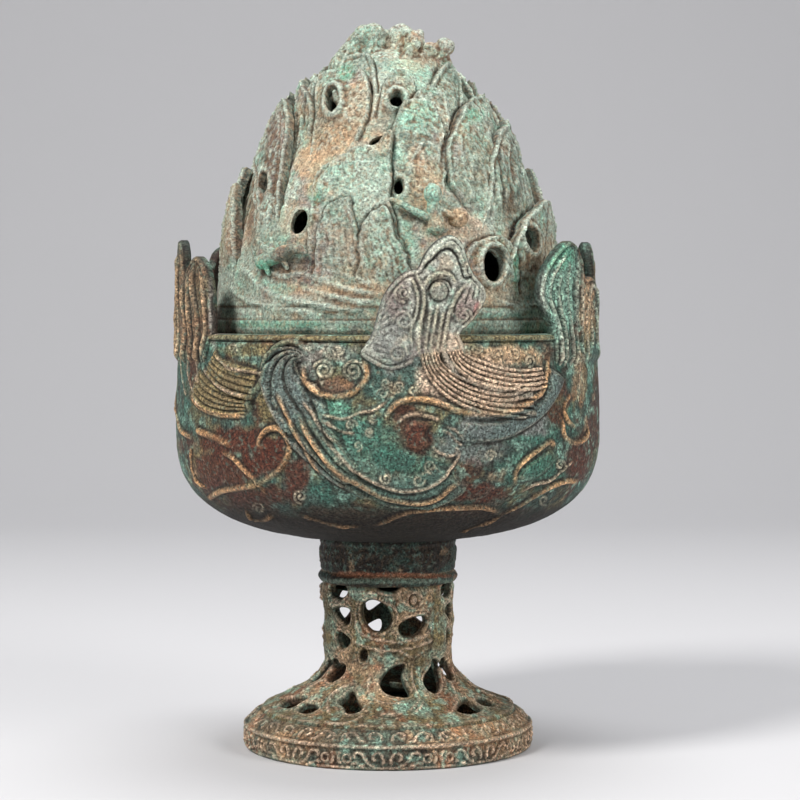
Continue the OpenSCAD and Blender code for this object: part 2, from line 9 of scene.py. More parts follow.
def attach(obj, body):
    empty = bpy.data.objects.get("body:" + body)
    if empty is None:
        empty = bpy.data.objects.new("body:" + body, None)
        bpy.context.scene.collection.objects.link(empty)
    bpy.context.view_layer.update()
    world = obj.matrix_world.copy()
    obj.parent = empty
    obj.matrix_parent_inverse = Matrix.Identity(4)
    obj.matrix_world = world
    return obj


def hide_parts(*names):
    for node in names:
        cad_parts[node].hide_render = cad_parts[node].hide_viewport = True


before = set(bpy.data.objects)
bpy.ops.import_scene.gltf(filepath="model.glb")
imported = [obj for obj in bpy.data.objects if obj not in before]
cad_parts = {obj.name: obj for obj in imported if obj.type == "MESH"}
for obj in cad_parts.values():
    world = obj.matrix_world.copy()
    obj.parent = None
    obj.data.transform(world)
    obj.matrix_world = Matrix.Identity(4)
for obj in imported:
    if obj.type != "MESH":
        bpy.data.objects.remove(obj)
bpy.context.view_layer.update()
RAD = math.pi / 180.0
MM = 0.001

# The front view: its size and focal length in its own units, the eye's place, how far it looks down,
# and the depths from the eye that are searched for a wall.
VIEW_SIZE = 800.0
VIEW_MID = VIEW_SIZE / 2.0
VIEW_F = 2376.0
VIEW_AT = np.array([4.7, -923.0, 173.3])
VIEW_TILT = 2.42 * RAD
VIEW_FWD = np.array([0.0, math.cos(VIEW_TILT), -math.sin(VIEW_TILT)])
VIEW_UP = np.array([0.0, math.sin(VIEW_TILT), math.cos(VIEW_TILT)])
VIEW_SIDE = np.array([1.0, 0.0, 0.0])
VIEW_NEAR = 800.0
VIEW_FAR = 940.0
VIEW_STEP = 0.1

# Sizes that the solids have.
FOOT_R = 55.5
FOOT_RIM_H = 9.2
FOOT_TOP = 14.3
FOOT_BORE_R = 52.5
FOOT_LIP_R = 49.65
LEDGE_R = 46.5
LEDGE_Z = FOOT_TOP - 3.0
STEM_FOOT_R = 49.5
STEM_WAIST_R = 24.1
STEM_TOP_R = 25.0
STEM_FLARE_H = 19.7
STEM_TOP = 64.1
STEM_WALL = 2.6
STEM_PLATE = 2.4
RIVET_BORE_R = 4.1
COLLAR_R = 26.3
COLLAR_BORE_R = 22.3
BOWL_BASE = 81.5
BOWL_FLOOR = 2.6
BOWL_R = 82.0
BOWL_TOP_R = 80.5
BELLY = 124.1
BELLY_POWER = 2.72
SEAT = 160.6
LIP_R = 62.5
LIP_H = 6.0
MOUTH_R = 60.0
SOCKET_R = 63.2
LID_RIM_R = 67.5
HILL_R = 66.6
HILL_Z = 172.1
HILL_H = 106.0
HILL_CUT = 0.87
HILL_WALL = 1.5
SUMMIT_Z = HILL_Z + HILL_H * HILL_CUT


def ease(t):
    """A smooth step from 0 to 1."""
    t = np.clip(t, 0.0, 1.0)
    return t * t * (3.0 - 2.0 * t)


def bell(d, w):
    """1 where d is 0, falling smoothly to 0 where d is w."""
    t = np.clip(1.0 - (d / w) ** 2, 0.0, 1.0)
    return t * t


def noise(p, size, seed):
    """Smooth noise from 0 to 1 at points, with features of a given size."""
    q = p / size + 31.7 * seed
    i = np.floor(q).astype(np.int64)
    f = q - i
    f = f * f * (3.0 - 2.0 * f)
    total = np.zeros(len(p))
    for dx in (0, 1):
        for dy in (0, 1):
            for dz in (0, 1):
                n = (i[:, 0] + dx) * 73856093
                n = n ^ ((i[:, 1] + dy) * 19349663)
                n = n ^ ((i[:, 2] + dz) * 83492791) ^ (seed * 40503)
                n = (n ^ (n >> 13)) * 1274126177
                n = (n ^ (n >> 16)) & 0xFFFF
                wx = f[:, 0] if dx else 1.0 - f[:, 0]
                wy = f[:, 1] if dy else 1.0 - f[:, 1]
                wz = f[:, 2] if dz else 1.0 - f[:, 2]
                total += wx * wy * wz * n / 65535.0
    return total


def clouds(p, size, seed, octaves=4):
    """Noise of several sizes, spread out to fill 0 to 1."""
    total = np.zeros(len(p))
    weight = 0.0
    for k in range(octaves):
        total += noise(p, size / 2.0 ** k, seed + k) * 0.6 ** k
        weight += 0.6 ** k
    return np.clip(0.5 + 1.7 * (total / weight - 0.5), 0.0, 1.0)


def uneven(p, height, size, seed, octaves=4):
    """An uneven skin: heights on both sides of 0, a given height apart at most."""
    return height * (clouds(p, size, seed, octaves) - 0.5)


def curve(points, step, closed=False):
    """A smooth line through points, sampled at about a given step."""
    p = np.asarray(points, float)
    if closed:
        p = np.vstack([p[-1:], p, p[:2]])
    else:
        p = np.vstack([2 * p[0] - p[1], p, 2 * p[-1] - p[-2]])
    out = []
    for i in range(1, len(p) - 2):
        a, b, c, d = p[i - 1], p[i], p[i + 1], p[i + 2]
        t0 = 0.0
        t1 = t0 + max(1e-6, np.linalg.norm(b - a)) ** 0.5
        t2 = t1 + max(1e-6, np.linalg.norm(c - b)) ** 0.5
        t3 = t2 + max(1e-6, np.linalg.norm(d - c)) ** 0.5
        n = max(2, int(np.linalg.norm(c - b) / step))
        t = (t1 + (t2 - t1) * np.arange(n) / n)[:, None]
        ab = (t1 - t) / (t1 - t0) * a + (t - t0) / (t1 - t0) * b
        bc = (t2 - t) / (t2 - t1) * b + (t - t1) / (t2 - t1) * c
        cd = (t3 - t) / (t3 - t2) * c + (t - t2) / (t3 - t2) * d
        abc = (t2 - t) / (t2 - t0) * ab + (t - t0) / (t2 - t0) * bc
        bcd = (t3 - t) / (t3 - t1) * bc + (t - t1) / (t3 - t1) * cd
        out.append((t2 - t) / (t2 - t1) * abc + (t - t1) / (t2 - t1) * bcd)
    if not closed:
        out.append(p[-2:-1])
    return np.vstack(out)


def evenly(line, n):
    """A line sampled at n places evenly along it."""
    step = np.linalg.norm(np.diff(line, axis=0), axis=1)
    s = np.concatenate([[0.0], np.cumsum(step)])
    t = np.linspace(0.0, s[-1], n)
    return np.stack([np.interp(t, s, line[:, k]) for k in (0, 1)], -1)


def spaced(line, step):
    """A line sampled at about a given step."""
    length = np.linalg.norm(np.diff(line, axis=0), axis=1).sum()
    return evenly(line, max(4, int(length / step) + 1))


def reach(p, line):
    """Distance of points from a line, and the share of its length at the nearest place."""
    best = np.full(len(p), 1e18)
    share = np.zeros(len(p))
    step = np.linalg.norm(np.diff(line, axis=0), axis=1)
    total = max(step.sum(), 1e-9)
    done = 0.0
    for i in range(len(line) - 1):
        d = line[i + 1] - line[i]
        q = p - line[i]
        t = np.clip((q @ d) / max(d @ d, 1e-12), 0.0, 1.0)
        e = q - t[:, None] * d
        dist = e[:, 0] ** 2 + e[:, 1] ** 2
        closer = dist < best
        best[closer] = dist[closer]
        share[closer] = (done + t[closer] * step[i]) / total
        done += step[i]
    return np.sqrt(best), share


def in_box(p, line, gap=0.0):
    """Places in a list of the points that lie within a gap of a line's box."""
    return np.nonzero(((p > line.min(0) - gap) & (p < line.max(0) + gap)).all(1))[0]


def ringed(loop):
    """A closed loop's points with the first one again at the end."""
    return np.vstack([loop, loop[:1]])


def on_circle(r, az, z):
    """Points at radii, azimuths and heights."""
    return np.stack([r * np.sin(az * RAD), -r * np.cos(az * RAD), z], -1)


def inside(p, loop):
    """Which points lie in a closed loop."""
    x, y = p[:, 0], p[:, 1]
    found = np.zeros(len(p), bool)
    for a, b in zip(loop, np.roll(loop, -1, axis=0)):
        if a[1] == b[1]:
            continue
        cross = (a[1] > y) != (b[1] > y)
        at = (b[0] - a[0]) * (y - a[1]) / (b[1] - a[1]) + a[0]
        found ^= cross & (x < at)
    return found


def coil(x, y, r, turns, start=0.0):
    """A spiral's points, from its outer end inwards; a negative turn count coils the other way."""
    t = np.linspace(0.0, 1.0, int(14 * abs(turns)) + 6)
    a = (start + 360.0 * turns * t) * RAD
    k = r * (1.0 - 0.82 * t)
    return np.stack([x + k * np.cos(a), y + k * np.sin(a)], -1)


class Wall:
    """A surface of revolution: its profile from bottom to top, and the sheet unrolled from it."""

    def __init__(self, r, z, ref_r):
        r = np.asarray(r, float)
        z = np.asarray(z, float)
        s = np.concatenate([[0.0], np.cumsum(np.hypot(np.diff(r), np.diff(z)))])
        self.s = np.linspace(0.0, s[-1], 1600)
        self.r = np.interp(self.s, s, r)
        self.z = np.interp(self.s, s, z)
        dr = np.gradient(self.r, self.s)
        dz = np.gradient(self.z, self.s)
        n = np.hypot(dr, dz)
        self.nr = dz / n
        self.nz = -dr / n
        self.k = ref_r * RAD

    def radius(self, s):
        return np.interp(s, self.s, self.r)

    def height(self, s):
        return np.interp(s, self.s, self.z)

    def along(self, z):
        return np.interp(z, self.z, self.s)

    def at(self, az, s, h):
        r = self.radius(s) + h * np.interp(s, self.s, self.nr)
        z = self.height(s) + h * np.interp(s, self.s, self.nz)
        return on_circle(r, az, z)

    def pick(self, points, out=0.0):
        """Azimuth and place along the profile of points of the front view."""
        p = np.asarray(points, float)
        across = VIEW_SIDE * (p[:, :1] - VIEW_MID) / VIEW_F
        rays = VIEW_FWD + across + VIEW_UP * (VIEW_MID - p[:, 1:]) / VIEW_F
        t = np.arange(VIEW_NEAR, VIEW_FAR, VIEW_STEP)
        q = VIEW_AT + t[None, :, None] * rays[:, None, :]
        gap = np.hypot(q[..., 0], q[..., 1]) - np.interp(q[..., 2], self.z, self.r) - out
        hit = gap < 0.0
        first = hit.argmax(1)
        missed = ~hit.any(1)
        first[missed] = gap[missed].argmin(1)
        q = q[np.arange(len(p)), first]
        return np.degrees(np.arctan2(q[:, 0], -q[:, 1])), self.along(q[:, 2])

    def sheet(self, points, out=0.0):
        az, s = self.pick(points, out)
        return np.stack([az * self.k, s], -1)


def front_view(p):
    """Where points land in the front view."""
    q = p - VIEW_AT
    depth = q @ VIEW_FWD
    x = VIEW_MID + VIEW_F * q[:, 0] / depth
    y = VIEW_MID - VIEW_F * (q @ VIEW_UP) / depth
    return np.stack([x, y], -1)


class Relief:
    """Heights and painted colours on points of a sheet."""

    def __init__(self, xy):
        self.xy = xy
        self.h = np.zeros(len(xy))
        self.tint = np.zeros((len(xy), 3))
        self.share = np.zeros(len(xy))

    def paint(self, idx, colour, amount):
        if colour is not None:
            weight = amount / np.maximum(amount, self.share[idx] + 1e-6)
            self.tint[idx] = toward(self.tint[idx], colour, weight)
            self.share[idx] = np.maximum(self.share[idx], amount)

    def near(self, line, w):
        idx = in_box(self.xy, line, w)
        d, t = reach(self.xy[idx], line)
        ok = d < w
        return idx[ok], d[ok], t[ok]

    def stroke(self, line, w, height, fade=0.12, colour=None):
        """A ridge along a line, or a groove where the height is negative."""
        idx, d, t = self.near(line, w)
        ends = ease(t / fade) * ease((1.0 - t) / fade) if fade else 1.0
        swing = 0.75 + 0.25 * np.sin(9.0 * t + line[0].sum())
        self.h[idx] += height * bell(d, w) * (0.2 + 0.8 * ends) * swing
        self.paint(idx, colour, 0.9 * bell(d, w) * ends * swing)

    def band(self, a, b, lift, lines, depth, colour=None):
        """A raised band between two edges, with grooves along it."""
        n = 80
        a = evenly(a, n)
        b = evenly(b, n)
        mid = (a + b) / 2.0
        idx, d, t = self.near(mid, np.linalg.norm(b - a, axis=1).max() / 2.0 + 2.0)
        at = t * (n - 1.0)
        ea = np.stack([np.interp(at, np.arange(n), a[:, k]) for k in (0, 1)], -1)
        eb = np.stack([np.interp(at, np.arange(n), b[:, k]) for k in (0, 1)], -1)
        e = eb - ea
        width = np.linalg.norm(e, axis=1) + 1e-6
        u = ((self.xy[idx] - ea) * e).sum(1) / width ** 2
        edge = np.minimum(u, 1.0 - u) * width
        body = ease((edge + 0.5) / 1.1) * ease(t / 0.05) * ease((1.0 - t) / 0.05)
        groove = (0.5 + 0.5 * np.cos(2.0 * math.pi * lines * u)) ** 3
        dome = np.clip(1.0 - (2.0 * u - 1.0) ** 2, 0.0, 1.0)
        self.h[idx] += body * (lift * (0.5 + 0.5 * dome) - depth * groove)
        self.paint(idx, colour, 0.95 * body)

    def mound(self, loop, lift, soft):
        """A raised flat inside a closed loop."""
        idx = in_box(self.xy, loop)
        idx = idx[inside(self.xy[idx], loop)]
        d, _ = reach(self.xy[idx], ringed(loop))
        self.h[idx] += lift * ease(d / soft)


def grid_quads(rows, cols, wrap_rows):
    """Quads of a grid of points whose rows are closed rings."""
    i = np.arange(rows if wrap_rows else rows - 1)
    i, j = np.meshgrid(i, np.arange(cols), indexing="ij")
    i2 = (i + 1) % rows
    j2 = (j + 1) % cols
    return np.stack([i * cols + j, i * cols + j2, i2 * cols + j2, i2 * cols + j], -1).reshape(-1, 4)


def fill(loops, step):
    """Triangles that fill the first loop and leave the others open, with each loop's points."""
    turned = []
    for k, loop in enumerate(loops):
        x, y = loop[:, 0], loop[:, 1]
        area = (x * np.roll(y, -1) - np.roll(x, -1) * y).sum()
        turned.append(loop if (area > 0) == (k == 0) else loop[::-1])
    outer = turned[0]
    lo, hi = outer.min(0), outer.max(0)
    high = step * 0.866
    ys = np.arange(lo[1] + high / 2, hi[1], high)
    xs = np.arange(lo[0], hi[0], step)
    gx, gy = np.meshgrid(xs, ys)
    gx = gx + (np.arange(len(ys)) % 2 * step / 2)[:, None]
    pts = np.stack([gx.ravel(), gy.ravel()], -1)
    pts = pts[inside(pts, outer)]
    for k, loop in enumerate(turned):
        idx = in_box(pts, loop, step)
        bad = reach(pts[idx], ringed(loop))[0] < 0.55 * step
        if k:
            bad |= inside(pts[idx], loop)
        keep = np.ones(len(pts), bool)
        keep[idx[bad]] = False
        pts = pts[keep]
    edges = []
    starts = []
    n = 0
    for loop in turned:
        m = len(loop)
        starts.append(n)
        edges += [(n + i, n + (i + 1) % m) for i in range(m)]
        n += m
    flat = np.vstack(turned + [pts])
    made = delaunay_2d_cdt([Vector(v) for v in flat], edges, [], 0, 1e-6)
    verts = np.array([(v.x, v.y) for v in made[0]])
    tris = np.array(made[2], int)
    place = np.zeros(len(flat), int)
    for new, olds in enumerate(made[3]):
        for old in olds:
            place[old] = new
    mid = verts[tris].mean(1)
    keep = inside(mid, outer)
    for loop in turned[1:]:
        idx = in_box(mid, loop)
        keep[idx[inside(mid[idx], loop)]] = False
    rims = [place[s:s + len(loop)] for s, loop in zip(starts, turned)]
    return verts, tris[keep], rims


def mean_round(values, faces, times):
    """Values smoothed over the neighbours that faces join."""
    pairs = []
    for f in faces:
        for k in range(f.shape[1]):
            pairs.append(np.stack([f[:, k], f[:, (k + 1) % f.shape[1]]], -1))
    e = np.vstack(pairs)
    n = len(values)
    count = np.bincount(e[:, 0], minlength=n) + np.bincount(e[:, 1], minlength=n)
    count = np.maximum(count, 1)
    v = values
    for _ in range(times):
        total = np.bincount(e[:, 0], v[e[:, 1]], n) + np.bincount(e[:, 1], v[e[:, 0]], n)
        v = 0.5 * v + 0.5 * total / count
    return v


def lay_out(sizes):
    """Places for boxes side by side in a square, and the square's side."""
    order = sorted(range(len(sizes)), key=lambda i: -sizes[i][1])
    side = max(math.sqrt(sum(w * h for w, h in sizes)) * 1.02, max(max(s) for s in sizes))
    while True:
        spots = [None] * len(sizes)
        x = y = shelf = 0.0
        for i in order:
            w, h = sizes[i]
            if x + w > side:
                x = 0.0
                y += shelf
                shelf = 0.0
            spots[i] = (x, y)
            x += w
            shelf = max(shelf, h)
        if y + shelf <= side:
            return spots, side
        side *= 1.03


# Points closer than the weld are one. The gap is the room round each sheet, and edges bent by more than
# the sharp angle stay hard.
WELD = 0.004
SHEET_GAP = 1.0
SHARP = 62.0 * RAD


class Piece:
    """Parts that make one mesh. Each part has points, faces, a flat sheet and colours."""

    def __init__(self):
        self.parts = []

    def add(self, verts, faces, sheet, tint, wear):
        self.parts.append((verts, faces, sheet, tint, wear))

    def add_round(self, verts, quads, cols, sheet, tint, wear, squeeze):
        """A revolved skin, with the faces that close its grid on a narrow sheet of their own."""
        wide = (quads % cols).max(1) - (quads % cols).min(1) > 1
        tall = quads.max(1) - quads.min(1) > 2 * cols
        cut = wide | tall
        self.add(verts, [quads[~cut]], sheet, tint, wear)
        used, back = np.unique(quads[cut], return_inverse=True)
        narrow = sheet[used] * np.array([squeeze, 0.2])
        self.add(verts[used], [back.reshape(-1, 4)], narrow, tint[used], wear[used])

    def build(self, name, body, node, material):
        mapped = self.parts[0][2] is not None
        if not mapped:
            self.parts = [(v, f, v[:, :2], t, w) for v, f, _, t, w in self.parts]
        spots, side = lay_out([tuple(np.ptp(p[2], axis=0) + 2.0 * SHEET_GAP) for p in self.parts])
        verts, flat, tint, wear, corners, starts = [], [], [], [], [], []
        n = 0
        c = 0
        for part, spot in zip(self.parts, spots):
            verts.append(part[0])
            flat.append((part[2] - part[2].min(0) + SHEET_GAP + np.array(spot)) / side)
            tint.append(part[3])
            wear.append(part[4])
            for f in part[1]:
                corners.append(f.ravel() + n)
                starts.append(c + np.arange(len(f)) * f.shape[1])
                c += f.size
            n += len(part[0])
        verts = np.vstack(verts)
        flat = np.vstack(flat)
        tint = np.vstack(tint)
        wear = np.concatenate(wear)
        corners = np.concatenate(corners)
        starts = np.concatenate(starts)
        key = np.round(verts / WELD).astype(np.int64)
        _, first, back = np.unique(key, axis=0, return_index=True, return_inverse=True)
        back = back.ravel()
        mesh = bpy.data.meshes.new(name)
        mesh.vertices.add(len(first))
        mesh.vertices.foreach_set("co", (verts[first] * MM).ravel())
        mesh.loops.add(len(corners))
        mesh.loops.foreach_set("vertex_index", back[corners].astype(np.int32))
        mesh.polygons.add(len(starts))
        mesh.polygons.foreach_set("loop_start", starts.astype(np.int32))
        if mapped:
            uv = mesh.uv_layers.new(name="OFBake")
            uv.data.foreach_set("uv", flat[corners].ravel())
        colour = mesh.attributes.new("tint", "FLOAT_COLOR", "POINT")
        rgba = np.hstack([tint[first], np.ones((len(first), 1))])
        colour.data.foreach_set("color", rgba.ravel())
        worn = mesh.attributes.new("wear", "FLOAT", "POINT")
        worn.data.foreach_set("value", wear[first])
        mesh.update(calc_edges=True)
        mesh.validate()
        mesh.shade_smooth()
        mesh.set_sharp_from_angle(angle=SHARP)
        obj = bpy.data.objects.new(name, mesh)
        bpy.context.scene.collection.objects.link(obj)
        mesh.materials.append(material)
        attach(obj, body)
        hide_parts(node)


def linear(r, g, b):
    """A colour written as on a screen, from 0 to 255, as light."""
    c = np.array([r, g, b]) / 255.0
    return np.where(c <= 0.04045, c / 12.92, ((c + 0.055) / 1.055) ** 2.4)


# The patina's colours, and last a near black that is used for painted shade.
TEAL = linear(84, 110, 100)
DEEP = linear(48, 74, 66)
SEA = linear(62, 114, 98)
GREEN = linear(126, 148, 130)
OLIVE = linear(134, 120, 80)
SLATE = linear(128, 130, 126)
MINT = linear(158, 200, 180)
JADE = linear(104, 186, 154)
AMBER = linear(232, 178, 124)
PALE = linear(192, 204, 190)
GREY = linear(152, 152, 142)
EARTH = linear(200, 166, 130)
OCHRE = linear(194, 146, 102)
RUST = linear(150, 94, 66)
CUPRITE = linear(84, 42, 28)
ROSE = linear(176, 114, 110)
BROWN = linear(116, 90, 68)
TAN = linear(224, 196, 170)
CREAM = linear(196, 190, 166)
STEEL = linear(98, 114, 110)
STONE = linear(182, 174, 164)
PLUM = linear(138, 112, 108)
UMBER = linear(84, 70, 56)
DARK = linear(46, 42, 36)
# Near black, for painted shade.
SHADE_BLACK = linear(22, 20, 18)


def toward(colour, other, weight):
    return colour + (other - colour) * np.clip(weight, 0.0, 1.0)[:, None]


def to_front(p):
    """Points of the back half turned half a turn to the front."""
    q = p.copy()
    q[p[:, 1] > 0.0, :2] *= -1.0
    return q


def patina(p, cav, style, spots=(), paint=None):
    """Colour and wear of points: clouds of colours, placed patches, then grooves with patina and painted
    shade, and worn ridges.
    """
    a, b, size, seed = style["base"]
    mix = clouds(p, size, seed)
    colour = a + (b - a) * mix[:, None]
    for other, size, level, soft, seed, amount in style["clouds"]:
        w = ease((clouds(p, size, seed) - level) / soft)
        colour = toward(colour, other, amount * w)
    if len(spots):
        v = front_view(to_front(p))
        ragged = clouds(p, 7.0, 90)
        for x, y, rx, ry, other, amount in spots:
            d = np.hypot((v[:, 0] - x) / rx, (v[:, 1] - y) / ry)
            w = ease((1.25 - d + 0.9 * (ragged - 0.5)) / 0.6)
            colour = toward(colour, other, amount * w)
    patchy = 0.35 + 0.65 * ease((clouds(p, 14.0, 70) - 0.3) / 0.35)
    if paint is not None:
        colour = toward(colour, paint[0], paint[1] * (0.3 + 0.7 * patchy))
    # Grooves darken toward the style's groove colour: patina in the hollows, and painted shade.
    other, depth, amount = style["groove"]
    colour = toward(colour, other, amount * patchy * ease(-cav / depth))
    # The deepest hollows go darker still: painted shade.
    deep = ease((-cav - 1.4 * depth) / depth)
    colour = toward(colour, style.get("deep", UMBER), 0.55 * deep)
    other, depth, amount = style["ridge"]
    colour = toward(colour, other, amount * ease(cav / depth) * (0.4 + 0.6 * patchy))
    grain = clouds(p, 1.6, 77, 3)
    colour = colour * (0.80 + 0.40 * grain)[:, None]
    wear = np.clip(0.5 + 0.9 * cav + 0.3 * (grain - 0.5), 0.0, 1.0)
    return colour, wear


STYLE_LID = {
    "base": (GREEN, PALE, 13.0, 3),
    "clouds": [
        (EARTH, 19.0, 0.56, 0.25, 11, 0.6), (PLUM, 15.0, 0.60, 0.18, 17, 0.65),
        (MINT, 6.0, 0.58, 0.2, 23, 0.8),
        (OCHRE, 5.0, 0.72, 0.12, 29, 0.45), (TEAL, 8.0, 0.64, 0.16, 31, 0.6),
    ],
    "groove": (BROWN, 0.18, 0.85), "ridge": (PALE, 0.30, 0.8), "deep": DARK,
}
STYLE_BOWL = {
    "base": (DEEP, TEAL, 15.0, 5),
    "clouds": [
        (SEA, 17.0, 0.50, 0.3, 37, 0.6), (OLIVE, 12.0, 0.54, 0.2, 141, 0.6),
        (CUPRITE, 21.0, 0.58, 0.14, 41, 0.8),
        (DARK, 8.0, 0.58, 0.2, 143, 0.6), (MINT, 4.0, 0.62, 0.14, 43, 0.5),
        (EARTH, 9.0, 0.70, 0.2, 47, 0.4),
    ],
    "groove": (DARK, 0.13, 0.9), "ridge": (EARTH, 0.40, 0.3), "deep": SHADE_BLACK,
}
STYLE_CREST = {
    "base": (STONE, PALE, 12.0, 15),
    "clouds": [
        (PALE, 9.0, 0.54, 0.2, 83, 0.5), (MINT, 4.0, 0.66, 0.14, 43, 0.5),
        (PLUM, 12.0, 0.60, 0.16, 87, 0.5),
        (EARTH, 7.0, 0.68, 0.16, 89, 0.4),
    ],
    "groove": (DARK, 0.16, 0.9), "ridge": (CREAM, 0.40, 0.6), "deep": SHADE_BLACK,
}
STYLE_FOOT = {
    "base": (UMBER, TEAL, 11.0, 7),
    "clouds": [
        (GREEN, 12.0, 0.54, 0.22, 53, 0.7), (EARTH, 13.0, 0.50, 0.22, 59, 0.85),
        (RUST, 9.0, 0.66, 0.16, 61, 0.6),
        (MINT, 4.0, 0.66, 0.12, 67, 0.6),
    ],
    "groove": (DARK, 0.16, 0.85), "ridge": (TAN, 0.30, 0.8),
}
STYLE_STEM = {
    "base": (UMBER, OLIVE, 11.0, 7),
    "clouds": [
        (GREEN, 12.0, 0.50, 0.22, 53, 0.7), (EARTH, 13.0, 0.58, 0.22, 59, 0.6),
        (RUST, 9.0, 0.66, 0.16, 61, 0.6),
        (MINT, 4.0, 0.64, 0.12, 67, 0.6),
    ],
    "groove": (DARK, 0.28, 0.85), "ridge": (TAN, 0.34, 0.8), "deep": SHADE_BLACK,
}
# The collar's near-black base is painted shade, as it sits under the bowl.
STYLE_COLLAR = {
    "base": (SHADE_BLACK, DARK, 9.0, 9),
    "clouds": [(DEEP, 8.0, 0.52, 0.2, 71, 0.7), (EARTH, 7.0, 0.72, 0.14, 73, 0.35)],
    "groove": (EARTH, 0.3, 0.35), "ridge": (GREY, 0.4, 0.25),
}


def bronze(name, dark, light, crusted, soil, rough):
    """A patinated bronze: the painted tint with specks, fine pits and a broken satin sheen."""
    mat = bpy.data.materials.new(name)
    mat.use_nodes = True
    nodes = mat.node_tree.nodes
    links = mat.node_tree.links
    shader = nodes["Principled BSDF"]
    tint = nodes.new("ShaderNodeAttribute")
    tint.attribute_name = "tint"
    worn = nodes.new("ShaderNodeAttribute")
    worn.attribute_name = "wear"
    place = nodes.new("ShaderNodeTexCoord")

    def speckle(scale, detail, low, high):
        tex = nodes.new("ShaderNodeTexNoise")
        tex.inputs["Scale"].default_value = scale
        tex.inputs["Detail"].default_value = detail
        tex.inputs["Roughness"].default_value = 0.62
        links.new(place.outputs["Object"], tex.inputs["Vector"])
        ramp = nodes.new("ShaderNodeMapRange")
        ramp.interpolation_type = "SMOOTHSTEP"
        ramp.inputs["From Min"].default_value = low
        ramp.inputs["From Max"].default_value = high
        links.new(tex.outputs["Fac"], ramp.inputs["Value"])
        return tex.outputs["Fac"], ramp.outputs["Result"]

    def mixed(below, colour, amount):
        mix = nodes.new("ShaderNodeMix")
        mix.data_type = "RGBA"
        mix.inputs["B"].default_value = (*colour, 1.0)
        links.new(below, mix.inputs["A"])
        links.new(amount, mix.inputs["Factor"])
        return mix.outputs["Result"]

    def summed(value, factor, offset):
        node = nodes.new("ShaderNodeMath")
        node.operation = "MULTIPLY_ADD"
        node.inputs[1].default_value = factor
        links.new(value, node.inputs[0])
        if isinstance(offset, float):
            node.inputs[2].default_value = offset
        else:
            links.new(offset, node.inputs[2])
        return node.outputs["Value"]

    fine, fine_amount = speckle(1150.0, 5.0, 0.47, 0.59)
    _, pale_amount = speckle(950.0, 5.0, 0.51, 0.62)
    crust, crust_amount = speckle(520.0, 6.0, 0.54, 0.66)
    level = summed(pale_amount, light, summed(fine_amount, -dark, 1.0))
    specks = nodes.new("ShaderNodeVectorMath")
    specks.operation = "SCALE"
    links.new(tint.outputs["Color"], specks.inputs[0])
    links.new(level, specks.inputs["Scale"])
    held = nodes.new("ShaderNodeMath")
    held.operation = "MULTIPLY"
    held.use_clamp = True
    links.new(crust_amount, held.inputs[0])
    links.new(summed(worn.outputs["Fac"], 2.0, 0.0), held.inputs[1])
    colour = mixed(specks.outputs["Vector"], MINT, summed(held.outputs["Value"], crusted, 0.0))
    _, earthy_amount = speckle(760.0, 5.0, 0.50, 0.62)
    colour = mixed(colour, soil, summed(earthy_amount, crusted, 0.0))
    links.new(colour, shader.inputs["Base Color"])
    shader.inputs["Metallic"].default_value = 0.18
    shader.inputs["Specular IOR Level"].default_value = 0.42
    sheen = nodes.new("ShaderNodeMapRange")
    sheen.inputs["To Min"].default_value = rough + 0.20
    sheen.inputs["To Max"].default_value = rough - 0.12
    links.new(worn.outputs["Fac"], sheen.inputs["Value"])
    links.new(summed(fine, 0.22, sheen.outputs["Result"]), shader.inputs["Roughness"])
    bump = nodes.new("ShaderNodeBump")
    bump.inputs["Strength"].default_value = 0.8
    bump.inputs["Distance"].default_value = 0.0006
    links.new(summed(crust, 1.6, fine), bump.inputs["Height"])
    links.new(bump.outputs["Normal"], shader.inputs["Normal"])
    return mat


MAT_LID = bronze("bronze_lid_patina", 0.52, 0.62, 0.30, EARTH, 0.55)
MAT_BOWL = bronze("bronze_bowl_patina", 0.76, 1.30, 0.20, UMBER, 0.46)
MAT_CREST = bronze("bronze_crest_patina", 0.56, 0.80, 0.20, UMBER, 0.50)
MAT_FOOT = bronze("bronze_foot_patina", 0.66, 1.15, 0.24, BROWN, 0.52)


def shell(piece, wall, verts, tris, rims, out, back, az0, turn, style, spots,
          open_rims=(), crease=None, paint=None):
    """A curved plate: the outer skin at heights out, the inner at heights back, and its edges."""
    n = len(verts)
    az = verts[:, 0] / az0
    outer = wall.at(az, verts[:, 1], out)
    inner = wall.at(az, verts[:, 1], back)
    cav = out - mean_round(out, [tris], 8)
    tint, wear = patina(outer, cav, style, spots, paint)
    # Painted shade where crease is high: at the feet of the plates in front, and round the side holes.
    if crease is not None:
        tint = toward(tint, SHADE_BLACK, 0.85 * crease ** 2.0)
    tint_in, wear_in = patina(inner, 0.0 * cav, style)
    # The inner skin gets painted shade.
    tint_in = toward(tint_in, SHADE_BLACK, np.full(n, 0.55))
    walls = []
    for k, rim in enumerate(rims):
        if k in open_rims:
            continue
        nxt = np.roll(rim, -1)
        walls.append(np.stack([nxt, rim, rim + n, nxt + n], -1))
    c, s = math.cos(turn * RAD), math.sin(turn * RAD)
    pts = np.vstack([outer, inner])
    pts = np.stack([c * pts[:, 0] - s * pts[:, 1], s * pts[:, 0] + c * pts[:, 1], pts[:, 2]], -1)
    flat = np.vstack([verts, verts + np.array([np.ptp(verts[:, 0]) + 2.0 * SHEET_GAP, 0.0])])
    faces = [np.vstack([tris, tris[:, ::-1] + n])]
    if walls:
        faces.append(np.vstack(walls))
    piece.add(pts, faces, flat, np.vstack([tint, tint_in]), np.concatenate([wear, wear_in]))


# The bowl's profile, and the crests' cylinder above its rim.
def belly_arc(r, h, r_end, n):
    e = BELLY_POWER
    a_end = math.acos((r_end / r) ** (e / 2.0))
    b = h / math.sin(a_end) ** (2.0 / e)
    a = np.linspace(0.0, a_end, n)
    return r * np.cos(a) ** (2.0 / e), -b * np.sin(a) ** (2.0 / e)


